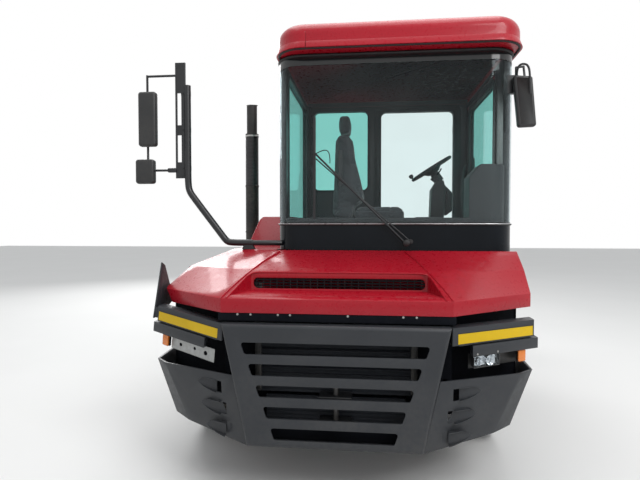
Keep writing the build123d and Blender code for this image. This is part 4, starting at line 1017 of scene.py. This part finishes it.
def rounded_route(x, y, radius, height, steps=6):
    """A closed route round a plan rectangle with rounded corners."""
    centres = (
        (x[1] - radius, y[1] - radius, 0), (x[0] + radius, y[1] - radius, 90),
        (x[0] + radius, y[0] + radius, 180), (x[1] - radius, y[0] + radius, 270),
    )
    route = []
    for cx, cy, start in centres:
        for step in range(steps + 1):
            angle = math.radians(start + 90 * step / steps)
            route.append((cx + radius * math.cos(angle), cy + radius * math.sin(angle), height))
    return route


def window_seals(name, axis, place, outward, across, up, width, body="chassis"):
    """The rubber frames round a window, on the outer and the inner face of its wall."""
    for side, face, depth in (
        ("outer", place, outward * SEAL_DEPTH), ("inner", place - outward * CAB_WALL, -outward * SEAL_DEPTH),
    ):
        rubber(ring_seal(f"{name}_seal_{side}", axis, face, across, up, WINDOW_CORNER, width, depth), body)


def cab_seals(width):
    """The rubber round every window, the windscreen's gasket with its bright bead, and the roof's gasket."""
    low, high = span("door_rear_glass")
    rear = ((low.x, high.x), (low.z, high.z))
    low, high = span("door_left_glass")
    window_seals("door_left", "X", CAB_LEFT, 1, (low.y, high.y), (low.z, high.z), width, "door_left")
    window_seals("door_rear", "Y", CAB_BACK, 1, *rear, width, "door_rear")
    reveals = []
    for place, depth in ((DOOR_INSIDE, 0.0187), (1.2325, 0.0172)):
        edges = ((low.y + 0.006, high.y - 0.006), (low.z + 0.006, high.z - 0.006))
        reveals.append(ring_seal("reveal", "X", place, *edges, 0.054, 0.006, depth))
    rubber(joined("door_left_reveals", reveals), "door_left")
    window_seals("right_window", "X", CAB_RIGHT, -1, (-3.38, -2.21), (1.70, 2.89), width)
    window_seals("rear_window", "Y", CAB_BACK, 1, (-0.398, 0.18), (2.05, 2.893), width)
    low, high = span("windscreen")
    gasket = tube("windscreen_gasket", cab_route(0.002, low.z), 0.008, 2, smooth=False)
    top = tube("windscreen_top_gasket", cab_route(0.001, high.z - 0.012), 0.011, 2, smooth=False)
    pieces = [gasket, top]
    for x in (CAB_RIGHT, CAB_LEFT):
        pieces.append(bar("end", 0.007, (x, SCREEN_BACK, low.z), (x, SCREEN_BACK, high.z), 12))
    rubber(joined("windscreen_gaskets", pieces))
    bead = tube("windscreen_bead", cab_route(0.009, low.z + 0.004), 0.0022, 2, smooth=False)
    finish(bead, "bead_bright")
    low, high = span("roof")
    edge = 0.022
    route = rounded_route((low.x + edge, high.x - edge), (low.y + edge, high.y - edge), 0.20, low.z - 0.002)
    rubber(tube("roof_gasket", route, 0.009, 2, closed=True, smooth=False))
    lug = pad("roof_lug", (1.035, -3.62, high.z - 0.004), (1.085, -3.605, high.z + 0.026), 0.005)
    finish(lug, "chassis_paint")


def mirrors():
    """The mirror heads with their glasses, and the clamps, webs and loop of the arms."""
    glasses = []
    covered = ("mirror_heads",)
    for head in loose_pieces("mirror_heads"):
        low, high = extent(head)
        inset = 0.022 if high.z - low.z > 0.3 else 0.016
        lean = 0.014 if low.x > 0 else 0.0
        y = high.y - 0.0006
        points = [
            (low.x + inset + lean, y, high.z - inset), (high.x - inset - lean * 1.6, y, high.z - inset),
            (high.x - inset, y, low.z + inset), (low.x + inset + lean * 1.1, y, low.z + inset),
        ]
        glasses.append(bevelled(outline("glass", points, (0, 0.003, 0)), 0.0008, 1))
        finish(bevelled(head, 0.010, 3), "black_plastic", replaces=covered)
        covered = ()
    finish(joined("mirror_glasses", glasses), "mirror_glass")
    x, y = MAST
    heights = (2.12, 2.42, 2.70)
    ring = [(-0.018, 0.019), (-0.018, 0.027), (0.018, 0.027), (0.018, 0.019)]
    clamps = []
    for z in heights:
        clamps.append(lathe("clamp", ring, (x, y, z), steps=24))
        clamps.append(block("ear", (x - 0.048, y - 0.011, z - 0.016), (x - 0.022, y + 0.011, z + 0.016)))
    clamps.append(rows("ear_bolts", [(x - 0.035, y - 0.011, z) for z in heights], (0, -1, 0), 0.012, 0.006))
    route = [
        (-0.70, 1.538), (-0.86, 1.538), (-0.905, 1.548), (-0.945, 1.60), (-1.165, 1.885), (-1.207, 1.945),
        (x, 2.02), (x, 2.15), (x, 2.762),
    ]
    clamps.append(tube("mast_pipe", [(across, y, z) for across, z in route], 0.0262, 5))
    for low_z, high_z in ((2.705, 2.905), (2.378, 2.455), (2.080, 2.167)):
        clamps.append(block("web", (-1.299, -3.6415, low_z), (-1.257, -3.6265, high_z)))
    clamps.append(pad("rod_clamp", (-1.372, -3.652, 2.088), (-1.300, -3.616, 2.122), 0.005))
    loop = [
        (1.252, -3.668, 2.748), (1.246, -3.700, 2.800), (1.275, -3.722, 2.818), (1.318, -3.728, 2.800),
        (1.326, -3.730, 2.700), (1.328, -3.7285, 2.60),
    ]
    clamps.append(tube("loop", loop, 0.0075))
    clamps.append(pad("grip", (1.285, -3.7295, 2.575), (1.345, -3.722, 2.605), 0.004))
    finish(joined("mirror_clamps", clamps), "black_frame")


def wiper_details():
    """The wiper's rubber, hub caps and washer hose."""
    strip = block("wiper_rubber", (-0.2085, -3.7285, 1.725), (-0.2015, -3.7205, 2.465))
    spine = bar("wiper_spine", 0.004, (-0.205, -3.742, 1.76), (-0.205, -3.742, 2.43), 10)
    large = [(0, 0), (0, 0.026), (0.014, 0.024), (0.020, 0.016), (0.021, 0)]
    small = [(0, 0), (0, 0.018), (0.010, 0.016), (0.013, 0)]
    caps = [
        lathe("cap", large, (0.470, -3.757, 1.545), (0, -1, 0), 24, False),
        lathe("cap", small, (0.500, -3.753, 1.555), (0, -1, 0), 20, False),
    ]
    rubber(joined("wiper_dress", [strip, spine, *caps]))
    route = [(-0.19, -3.752, 2.20), (-0.13, -3.755, 2.235), (-0.085, -3.752, 2.205), (-0.088, -3.748, 2.13)]
    rubber(tube("washer_hose", route, 0.0035))


def exhaust_details():
    """The perforated sleeve, its clamps and the silencer's end rings."""
    x, y = STACK
    inside = SLEEVE_RADIUS - 0.002
    wall = [(2.090, SLEEVE_RADIUS), (2.598, SLEEVE_RADIUS), (2.598, inside), (2.090, inside)]
    finish(lathe("exhaust_sleeve", wall, (x, y, 0)), "guard_perforated")
    for name, slot, places in (
        ("bolt_zinc", "tank_alloy", ((2.59, 0.0715),)),
        ("stack_black", None, ((1.12, 0.0705), (1.60, 0.0705), (2.075, 0.0705))),
    ):
        rings = []
        for z, radius in places:
            band = [(z, radius - 0.006), (z, radius), (z + 0.016, radius), (z + 0.016, radius - 0.006)]
            rings.append(lathe("ring", band, (x, y, 0)))
            end = (x + 0.078, y - 0.036, z + 0.016)
            rings.append(pad("clamp_ear", (x + 0.050, y - 0.060, z), end, 0.003))
        finish(joined("exhaust_clamps_" + name, rings), name)


# The seat's pads from the lowest to the highest: how far each point may swell, and the share of the pad's
# height that it swells from
PADS = (("seat_cushion", 0.022, 0.90), ("seat_backrest", 0.024, 0.97), ("seat_headrest", 0.014, 0.97))


def seat():
    """The driver's seat as padded pieces, swollen a little as cloth over foam, with seams and armrests."""
    pieces = sorted(loose_pieces("driver_seat"), key=lambda piece: extent(piece)[1].z)
    covered = ("driver_seat",)
    for piece, (name, cap, share) in zip(pieces, PADS):
        piece.name = name
        bevelled(piece, 0.012)
        centre = sum((vertex.co for vertex in piece.data.vertices), Vector()) / len(piece.data.vertices)
        shrunk = Matrix.Translation(centre) @ Matrix.Diagonal((0.93, 0.97, share, 1))
        piece.data.transform(shrunk @ Matrix.Translation(-centre))
        activate(piece)
        remesh = piece.modifiers.new("Even", "REMESH")
        remesh.mode = "VOXEL"
        remesh.voxel_size = 0.007
        bpy.ops.object.modifier_apply(modifier=remesh.name)
        blown(piece, cap)
        fine = piece.modifiers.new("Fine", "SUBSURF")
        fine.levels = 1
        fine.render_levels = 1
        bpy.ops.object.modifier_apply(modifier=fine.name)
        sewn(piece, seams_of(piece, name))
        finish(piece, "seat_fabric", "driver_station", smooth=60, replaces=covered)
        covered = ()
    rests = []
    for y in (-3.137, -2.603):
        rests.append(pad("armrest", (-0.075, y - 0.022, 2.02), (-0.025, y + 0.022, 2.32), 0.012, 3))
        rests.append(bar("hinge", 0.018, (-0.05, y - 0.026, 2.03), (-0.05, y + 0.026, 2.03), 20))
    finish(joined("armrests", rests), "trim_dark", "driver_station")


def seams_of(piece, name):
    """A pad's sewn channels: each one's axis and place, and the sides it shows on, as a range of normals."""
    low, high = extent(piece)
    middle = (low.y + high.y) / 2
    rim = (1, -0.8, 0.8)
    if name == "seat_cushion":
        top = (2, 0.5, 2.0)
        seams = [(2, high.z - 0.036, (2, -0.75, 0.75)), (0, high.x - 0.115, top)]
        return seams + [(1, middle + side * 0.125, top) for side in (-1, 1)]
    if name == "seat_backrest":
        front = (0, 0.4, 2.0)
        seams = [(1, middle + side * 0.130, front) for side in (-1, 1)]
        seams += [(2, low.z + (high.z - low.z) * share, front) for share in (0.34, 0.66)]
        return seams + [(1, low.y + 0.024, rim), (1, high.y - 0.024, rim)]
    return [(1, middle, rim)]


def sewn(piece, seams, width=0.0055, depth=0.0055):
    """Presses the seams into a pad."""
    normals = [vertex.normal.copy() for vertex in piece.data.vertices]
    for vertex, normal in zip(piece.data.vertices, normals):
        deep = 0.0
        for axis, place, (part, least, most) in seams:
            if least < normal[part] < most:
                away = (vertex.co[axis] - place) / width
                deep = max(deep, depth * math.exp(-away * away))
        if deep > 0.0002:
            vertex.co -= normal * deep


def blown(piece, cap):
    """Swells a pad with a short cloth simulation, each point by at most the cap."""
    activate(piece)
    start = [vertex.co.copy() for vertex in piece.data.vertices]
    cloth = piece.modifiers.new("Cloth", "CLOTH")
    settings = cloth.settings
    settings.quality = 4
    settings.mass = 0.25
    settings.tension_stiffness = 12
    settings.compression_stiffness = 12
    settings.bending_stiffness = 0.6
    settings.use_pressure = True
    settings.uniform_pressure_force = 4
    settings.effector_weights.gravity = 0
    scene = bpy.context.scene
    for number in range(1, 21):
        scene.frame_set(number)
    bpy.ops.object.modifier_apply(modifier=cloth.name)
    scene.frame_set(1)
    for vertex, place in zip(piece.data.vertices, start):
        move = vertex.co - place
        if move.length > cap:
            vertex.co = place + move * (cap / move.length)


def steering_dress():
    """The steering wheel's spinner knob and boss cap, and the column's stalks, shroud and cover."""
    axis = Vector((-math.sin(WHEEL_LEAN), 0, math.cos(WHEEL_LEAN)))
    across = Vector((-axis.z, 0, axis.x))
    centre = Vector(WHEEL_CENTRE)
    grip = centre + across * 0.187 + axis * 0.030
    bulb = [(0, 0), (0, 0.010), (0.012, 0.008), (0.020, 0.018), (0.040, 0.021), (0.048, 0.012), (0.050, 0)]
    knob = lathe("spinner_knob", bulb, grip, axis, 20, False)
    dish = [(-0.022, 0), (-0.022, 0.050), (0.008, 0.086), (0.016, 0.090), (0.016, 0.084), (0.010, 0)]
    cone = lathe("wheel_dish", dish, centre, axis, 32, False)
    lid = [(0, 0), (0, 0.052), (0.012, 0.050), (0.020, 0.036), (0.022, 0)]
    boss = lathe("boss_cap", lid, centre + axis * 0.018, axis, 28, False)
    finish(joined("wheel_knob", [knob, cone, boss]), "trim_dark", "steering_wheel")
    stalks = []
    for bend, tip in (((0.02, -0.08, 0.01), (0.03, -0.17, 0.03)), ((0.02, 0.08, 0.01), (0.03, 0.15, 0.02))):
        bend = centre - axis * 0.045 + Vector(bend)
        tip = centre - axis * 0.035 + Vector(tip)
        stalks.append(tube("stalk", [centre - axis * 0.05, bend, tip], 0.006))
    shroud = [(-0.11, 0.045), (-0.03, 0.040), (-0.012, 0.030), (-0.012, 0.010), (-0.11, 0.010)]
    stalks.append(lathe("shroud", shroud, centre, axis, 24))
    side = [
        (0.742, 2.092), (0.800, 2.128), (0.868, 2.030), (0.930, 1.965), (0.930, 1.800), (0.872, 1.757),
        (0.858, 2.000),
    ]
    cover = outline("cover", [(x, -2.925, z) for x, z in side], (0, 0.110, 0))
    stalks.append(bevelled(cover, 0.014, 3))
    finish(joined("column_dress", stalks), "trim_dark", "driver_station")


def cab_inside():
    """Dash screen, switches and vents, grab rails, door lining and seals, roof lining, mat and rear lever."""
    finish(pad("dash_screen", (0.958, -3.462, 1.90), (1.118, -3.4535, 2.02), 0.004), "black_gloss")
    switches = []
    for row in range(2):
        for step in range(5):
            x = 0.955 + step * 0.036
            z = 1.79 + row * 0.045
            switches.append(pad("switch", (x, -3.4625, z), (x + 0.024, -3.454, z + 0.032), 0.003))
    finish(joined("dash_switches", switches), "trim_grey")
    vents = []
    for x in (-0.25, 0.15, 0.55):
        for step in range(6):
            y = -3.63 + step * 0.017
            vents.append(block("vent", (x, y, 1.730), (x + 0.20, y + 0.007, 1.735)))
    finish(joined("dash_vents", vents), "trim_dark")
    rails = []
    for wall, grip, y in ((-0.445, -0.395, -2.150), (1.195, 1.150, -2.175)):
        route = [(wall, y, 1.75), (grip, y, 1.77), (grip, y, 2.28), (wall, y, 2.30)]
        rails.append(tube("grab_rail", route, 0.011))
    finish(joined("inner_rails", rails), "step_steel")
    edges = ((-3.21, -2.21), (1.56, 2.835))
    lining = ring_seal("door_card", "X", DOOR_INSIDE, *edges, WINDOW_CORNER, 0.0455, -0.004)
    card = pad("card", (1.198, -3.256, 1.298), (DOOR_INSIDE, -2.164, 1.518), 0.003)
    finish(joined("door_lining", [lining, card]), "trim_dark", "door_left")
    seals = []
    for axis, place, across in (("X", DOOR_INSIDE, (-3.262, -2.158)), ("Y", -2.0948, (0.280, 1.112))):
        seals.append(ring_seal("seal", axis, place, across, (1.290, 2.887), 0.012, 0.034, -0.007))
    rubber(joined("door_opening_seals", seals))
    z = 2.942
    route = cab_route(-0.030, z, -2.09) + cab_route(-0.034, z, -2.09)[::-1]
    front = outline("strip", route, (0, 0, 0.087))
    rear = block("strip", (-0.468, -2.094, z), (1.218, -2.090, z + 0.087))
    finish(joined("roof_lining", [front, rear]), "trim_dark")
    rubber(pad("floor_mat", (-0.43, -3.45, 1.2502), (0.10, -2.15, 1.255), 0.002))
    plate = pad("plate", (0.287, -2.105, 2.02), (0.316, -2.094, 2.16), 0.004)
    lever = pad("lever", (0.293, -2.113, 2.03), (0.310, -2.104, 2.13), 0.003)
    finish(joined("rear_door_lever", [plate, lever]), "black_frame", "door_rear")


def door_hardware():
    """Outer handles of both doors and the grab rails beside them."""
    plate = pad("plate", (1.2495, -2.285, 1.40), (1.258, -2.165, 1.47), 0.005)
    pull = pad("pull", (1.256, -2.275, 1.418), (1.268, -2.190, 1.450), 0.005)
    finish(joined("left_door_handle", [plate, pull]), "black_plastic", "door_left")
    plate = pad("plate", (0.275, -2.0505, 1.36), (0.315, -2.040, 1.50), 0.005)
    pull = pad("pull", (0.283, -2.043, 1.375), (0.307, -2.030, 1.485), 0.005)
    finish(joined("rear_door_handle", [plate, pull]), "black_plastic", "door_rear")
    left = [(1.250, -2.085, 1.32), (1.285, -2.085, 1.35), (1.285, -2.085, 2.37), (1.250, -2.085, 2.40)]
    rear = [(-0.42, -2.050, 1.35), (-0.42, -2.015, 1.38), (-0.42, -2.015, 2.30), (-0.42, -2.050, 2.33)]
    rails = [tube("grab_rail", route, 0.012, smooth=False) for route in (left, rear)]
    finish(joined("grab_rails", rails), "step_steel")


# The tyre's section from its inner bead over the outer side wall to the tread, as (across, radius)
TYRE_SECTION = [
    (-0.114, 0.289), (0.114, 0.289), (0.121, 0.296), (0.127, 0.310), (0.134, 0.318), (0.144, 0.350),
    (0.152, 0.385), (0.1555, 0.420), (0.1535, 0.455), (0.148, 0.490), (0.141, 0.508), (0.126, 0.5215),
    (0.096, 0.5245), (0.060, 0.5255),
]
TYRE_SECTION += [(-across, radius) for across, radius in reversed(TYRE_SECTION[2:])]


def tread_block(x0, x1, radius, depth, length, skew):
    """One tread block standing on a tyre's crown at the top, before it is carried round."""
    half = length / 2
    points = [(x0, -half - skew), (x1, -half + skew), (x1, half + skew), (x0, half - skew)]
    return outline("tread", [(x, y, radius - depth) for x, y in points], (0, 0, depth + 0.0005))


def tyre(name, x, y, body, sizes, replaces):
    """A road tyre: turned carcass with beads and rim strips, and blocks carried round its crown."""
    centre = (x, y, AXLE_Z)
    carcass = lathe(name, TYRE_SECTION, centre, (1, 0, 0), 72)
    rings = []
    for across, radius in ((0.1365, 0.330), (0.1548, 0.405), (0.1538, 0.452)):
        root = across - 0.004
        crest = across + 0.0012
        for end in (-1, 1):
            ring = [
                (end * root, radius - 0.003), (end * crest, radius - 0.0015),
                (end * crest, radius + 0.0015), (end * root, radius + 0.003),
            ]
            rings.append(lathe("ring", ring, centre, (1, 0, 0), 72))
    pitch = 2 * math.pi * TYRE_RADIUS / sizes.pitches
    blocks = []
    for x0, x1, skew, shift, drop, share in (
        (-0.136, -0.077, 0.006, 0.0, 0.0035, 0.70), (-0.066, -0.008, -0.004, 0.5, 0.0, 0.84),
        (0.008, 0.066, 0.004, 0.0, 0.0, 0.84), (0.077, 0.136, -0.006, 0.5, 0.0035, 0.70),
    ):
        piece = tread_block(x0, x1, TYRE_RADIUS - drop, sizes.tread, pitch * share, skew)
        piece.data.transform(Matrix.Rotation(shift * 2 * math.pi / sizes.pitches, 4, "X"))
        blocks.append(piece)
    tread = bevelled(joined("tread", blocks), 0.0016, 1)
    tread.data.transform(Matrix.Translation(centre))
    around(tread, sizes.pitches, centre, (1, 0, 0))
    return finish(joined(name, [carcass, tread, *rings]), "tyre", body, smooth=40, replaces=replaces)


def bolt_circle(side, y, x, radius, count, width, height):
    """Bolts in a circle round a wheel's axis, facing outwards."""
    bolt = hex_bolt("nut", (side * x, y, AXLE_Z + radius), (side, 0, 0), width, height)
    return around(bolt, count, (side * x, y, AXLE_Z), (1, 0, 0))


# Each axle's nuts, hub cap and cap bolts: places across, and the bolts' circle, count, width and height
FRONT_HUB = (
    (1.112, 0.1625, 10, 0.030, 0.022), (1.144, 0.084, 6, 0.014, 0.007), 1.134,
    [(0, 0.0), (0, 0.098), (0.010, 0.098), (0.016, 0.070), (0.052, 0.064), (0.062, 0.052), (0.064, 0)],
)
REAR_HUB = (
    (0.921, 0.170, 10, 0.030, 0.024), (1.053, 0.097, 8, 0.015, 0.008), 1.039,
    [(0, 0.0), (0, 0.112), (0.014, 0.112), (0.022, 0.082), (0.034, 0.076), (0.036, 0)],
)


def hub_fittings(name, side, y, body, kind):
    """A wheel's nuts and the cap over its hub with its bolts."""
    nuts, bolts, x, cap = kind
    pieces = [bolt_circle(side, y, *nuts), bolt_circle(side, y, *bolts)]
    hub = lathe("hub_cap", cap, (side * x, y, AXLE_Z), (side, 0, 0), 40, False)
    zinc(joined(name, pieces), body)
    finish(hub, "chassis_paint", body)


def wheels(sizes):
    """All six tyres, the wheel nuts, front hub caps and rear hub flanges."""
    for side, word in SIDES:
        body = f"front_wheel_{word}"
        node = f"front_tyre_{word}"
        tyre(node + "_tread", side * FRONT_TYRE, FRONT_AXLE, body, sizes, (node,))
        hub_fittings(f"front_nuts_{word}", side, FRONT_AXLE, body, FRONT_HUB)
        body = f"rear_wheels_{word}"
        covered = (f"rear_tyres_{word}",)
        for place, x in REAR_TYRES:
            tyre(f"rear_tyre_{word}_{place}", side * x, 0, body, sizes, covered)
            covered = ()
        hub_fittings(f"rear_nuts_{word}", side, 0, body, REAR_HUB)


def side_boxes():
    """Tank straps and cap, battery box lid and latches, step treads, deck nubs and frame bolts."""
    inside = span("fuel_tank")[0].x
    straps = []
    for y in (-1.88, -1.50, -1.12):
        straps.append(ring_seal("strap", "Y", y, (inside, 1.130), (0.500, 0.890), 0.070, 0.0035, 0.045))
    finish(joined("tank_straps", straps), "step_steel")
    cap = [(0, 0), (0, 0.046), (0.018, 0.046), (0.022, 0.040), (0.024, 0)]
    finish(lathe("tank_cap", cap, (1.090, -1.250, 0.960), (0.669, 0, 0.743), 28, False), "black_plastic")
    low, high = span("battery_box")
    rubber(block("lid_seam", (low.x - 0.0015, low.y + 0.012, 0.905), (high.x, high.y - 0.012, 0.911)))
    latches = []
    for y in (-2.42, -2.22, -2.02):
        start = (low.x - 0.010, y - 0.016, 0.875)
        latches.append(pad("latch", start, (low.x + 0.002, y + 0.016, 0.945), 0.004))
    for step in range(5):
        z = 0.63 + step * 0.012
        latches.append(block("louvre", (low.x - 0.004, -2.40, z), (low.x + 0.002, -2.05, z + 0.005)))
    finish(joined("battery_latches", latches), "black_frame")
    treads = []
    for top, x0 in ((0.42, 0.96), (0.73, 0.88), (1.03, 0.80)):
        for step in range(int((1.195 - x0) / 0.030)):
            x = x0 + 0.012 + step * 0.030
            treads.append(block("tread", (x, -2.525, top), (x + 0.008, -2.115, top + 0.004)))
    finish(joined("step_treads", treads), "step_steel")
    nubs = []
    for column in range(24):
        for row in range(3):
            x = -0.66 + column * 0.079 + (row % 2) * 0.04
            y = -1.985 + row * 0.045
            nubs.append(block("nub", (x, y, 1.052), (x + 0.030, y + 0.006, 1.0545)))
    finish(joined("deck_nubs", nubs), "step_steel")
    for side, word in SIDES:
        places = []
        for step in range(20):
            y = -4.20 + step * 0.27
            if abs(y) > 0.13 and abs(y - FRONT_AXLE) > 0.10:
                places += [(side * RAIL, y, 0.665), (side * RAIL, y + 0.05, 0.855)]
        zinc(rows(f"rail_bolts_{word}", places, (side, 0, 0), 0.022, 0.012))


def tail_lamps():
    """Each tail lamp as a dark case with a red, an amber and a red lens."""
    low, high = span("tail_lamps")
    x0, x1 = 0.800, 1.160
    edges = (x0 + 0.006, x0 + 0.120, x0 + 0.236, x1 - 0.006)
    covered = ("tail_lamps",)
    for side, word in SIDES:
        case = pad(f"tail_case_{word}", (side * x0, low.y, low.z), (side * x1, high.y - 0.012, high.z), 0.006)
        finish(case, "black_plastic", replaces=covered)
        covered = ()
        for number, name in enumerate(("lamp_red", "amber_lens", "lamp_red")):
            start = (side * (edges[number] + 0.002), high.y - 0.020, low.z + 0.006)
            end = (side * (edges[number + 1] - 0.002), high.y, high.z - 0.006)
            finish(pad(f"tail_lens_{word}_{number}", start, end, 0.005, 3), name)


def coupling():
    """The fifth wheel's grease grooves, lock lever and the boom's bolts."""
    top = span("fifth_wheel")[1].z
    grooves = []
    for side in (-1, 1):
        for y in (-0.46, -0.30, -0.14):
            x0, x1 = sorted((side * 0.12, side * 0.39))
            grooves.append(block("groove", (x0, y, top - 0.0005), (x1, y + 0.010, top + 0.0006)))
    finish(joined("grease_lines", grooves), "grease_dark", "fifth_wheel")
    route = [(-0.12, -0.30, 1.100), (-0.30, -0.33, 1.098), (-0.44, -0.36, 1.095), (-0.475, -0.36, 1.092)]
    lever = tube("lever", route, 0.010)
    stop = bar("stop", 0.018, (-0.475, -0.36, 1.092), (-0.490, -0.36, 1.091), 16)
    finish(joined("lock_lever", [lever, stop]), "coupling_iron", "fifth_wheel")
    bolts = []
    for side in (-1, 1):
        places = [(side * 0.380, y, 0.975) for y in (-1.60, -1.35, -1.10, -0.85, -0.60)]
        bolts.append(rows("boom_bolt", places, (side, 0, 0), 0.020, 0.010))
    zinc(joined("boom_bolts", bolts), "boom")


def air_lines():
    """The brake coupling heads on their panel, on the cab's back."""
    finish(pad("coupling_panel", (-0.30, -2.050, 1.40), (0.10, -2.038, 1.52), 0.003), "chassis_paint")
    profile = [(0, 0), (0, 0.026), (0.020, 0.026), (0.026, 0.018), (0.034, 0.018), (0.034, 0)]
    for x, name in ((-0.22, "lamp_red"), (-0.10, "yellow_stripe"), (0.02, "black_plastic")):
        finish(lathe("coupling_head", profile, (x, -2.039, 1.46), (0, 1, 0), 24, False), name)


class TRACTOR_OT_lamps(bpy.types.Operator):
    """Makes the headlamp, the indicators and the tail lamps"""

    bl_idname = "tractor.lamps"
    bl_label = "Lamps"

    def execute(self, context):
        headlamp()
        indicators()
        tail_lamps()
        return {"FINISHED"}


class TRACTOR_OT_bumper(bpy.types.Operator):
    """Makes the bent right wing, the bare bracket, the dark beads of painted shade at the stripes, and the
    towing jaw
    """

    bl_idname = "tractor.bumper"
    bl_label = "Bumper"

    def execute(self, context):
        right_wing()
        stripe_edge_shade()
        tow_jaw()
        shade_panels()
        return {"FINISHED"}


class TRACTOR_OT_hood(bpy.types.Operator):
    """Makes the hood's bolts, latches and slot ribs, and the cooler behind the bumper"""

    bl_idname = "tractor.hood"
    bl_label = "Hood details"

    def execute(self, context):
        hood_details()
        hood_beads()
        cooling()
        return {"FINISHED"}


class TRACTOR_OT_seals(bpy.types.Operator):
    """Makes the rubber round the windows and under the roof"""

    bl_idname = "tractor.seals"
    bl_label = "Seals and gaskets"

    def execute(self, context):
        cab_seals(context.scene.tractor_sizes.seal)
        return {"FINISHED"}


class TRACTOR_OT_mirrors(bpy.types.Operator):
    """Makes the mirror heads, their glasses and clamps"""

    bl_idname = "tractor.mirrors"
    bl_label = "Mirrors"

    def execute(self, context):
        mirrors()
        return {"FINISHED"}


class TRACTOR_OT_wiper(bpy.types.Operator):
    """Makes the wiper's rubber, caps and washer tube"""

    bl_idname = "tractor.wiper"
    bl_label = "Wiper"

    def execute(self, context):
        wiper_details()
        return {"FINISHED"}


class TRACTOR_OT_exhaust(bpy.types.Operator):
    """Makes the perforated sleeve and the clamps"""

    bl_idname = "tractor.exhaust"
    bl_label = "Exhaust"

    def execute(self, context):
        exhaust_details()
        return {"FINISHED"}


class TRACTOR_OT_seat(bpy.types.Operator):
    """Makes the padded seat with its armrests"""

    bl_idname = "tractor.seat"
    bl_label = "Seat"

    def execute(self, context):
        seat()
        return {"FINISHED"}


class TRACTOR_OT_controls(bpy.types.Operator):
    """Makes the wheel's knob, the stalks and the dash's fittings"""

    bl_idname = "tractor.controls"
    bl_label = "Controls"

    def execute(self, context):
        steering_dress()
        cab_inside()
        return {"FINISHED"}


class TRACTOR_OT_doors(bpy.types.Operator):
    """Makes the door handles and the grab rails"""

    bl_idname = "tractor.doors"
    bl_label = "Doors"

    def execute(self, context):
        door_hardware()
        return {"FINISHED"}


class TRACTOR_OT_boxes(bpy.types.Operator):
    """Makes the straps, cap, latches, treads and frame bolts"""

    bl_idname = "tractor.boxes"
    bl_label = "Tank, battery box and steps"

    def execute(self, context):
        side_boxes()
        return {"FINISHED"}


class TRACTOR_OT_coupling(bpy.types.Operator):
    """Makes the fifth wheel's fittings and the air couplings"""

    bl_idname = "tractor.coupling"
    bl_label = "Fifth wheel and couplings"

    def execute(self, context):
        coupling()
        air_lines()
        return {"FINISHED"}


class TRACTOR_OT_wheels(bpy.types.Operator):
    """Makes the treaded tyres, wheel nuts and hub caps"""

    bl_idname = "tractor.wheels"
    bl_label = "Wheels"

    def execute(self, context):
        wheels(context.scene.tractor_sizes)
        return {"FINISHED"}


# The steps, in the order in which they run
STEPS = (
    "stage", "finishes", "edges", "lamps", "bumper", "hood", "seals", "mirrors", "wiper", "exhaust", "seat",
    "controls", "doors", "wheels", "boxes", "coupling",
)


class TRACTOR_PT_panel(bpy.types.Panel):
    """The tractor's sizes, colours and steps."""

    bl_label = "Terminal Tractor"
    bl_idname = "TRACTOR_PT_panel"
    bl_space_type = "VIEW_3D"
    bl_region_type = "UI"
    bl_category = "Terminal Tractor"

    def draw(self, context):
        for group in (context.scene.tractor_sizes, context.scene.tractor_colours):
            for name in group.bl_rna.properties.keys():
                if name not in ("rna_type", "name"):
                    self.layout.prop(group, name)
        for step in STEPS:
            self.layout.operator("tractor." + step)


def register():
    for kind in CLASSES:
        bpy.utils.register_class(kind)
    bpy.types.Scene.tractor_colours = PointerProperty(type=TractorColours)
    bpy.types.Scene.tractor_sizes = PointerProperty(type=TractorSizes)


def unregister():
    del bpy.types.Scene.tractor_sizes
    del bpy.types.Scene.tractor_colours
    for kind in reversed(CLASSES):
        bpy.utils.unregister_class(kind)


def main():
    register()
    for step in STEPS:
        getattr(bpy.ops.tractor, step)()


CLASSES = (
    TractorColours,
    TractorSizes,
    TRACTOR_OT_stage,
    TRACTOR_OT_finishes,
    TRACTOR_OT_edges,
    TRACTOR_OT_lamps,
    TRACTOR_OT_bumper,
    TRACTOR_OT_hood,
    TRACTOR_OT_seals,
    TRACTOR_OT_mirrors,
    TRACTOR_OT_wiper,
    TRACTOR_OT_exhaust,
    TRACTOR_OT_seat,
    TRACTOR_OT_controls,
    TRACTOR_OT_doors,
    TRACTOR_OT_boxes,
    TRACTOR_OT_coupling,
    TRACTOR_OT_wheels,
    TRACTOR_PT_panel,
)

if __name__ == "__main__":
    main()
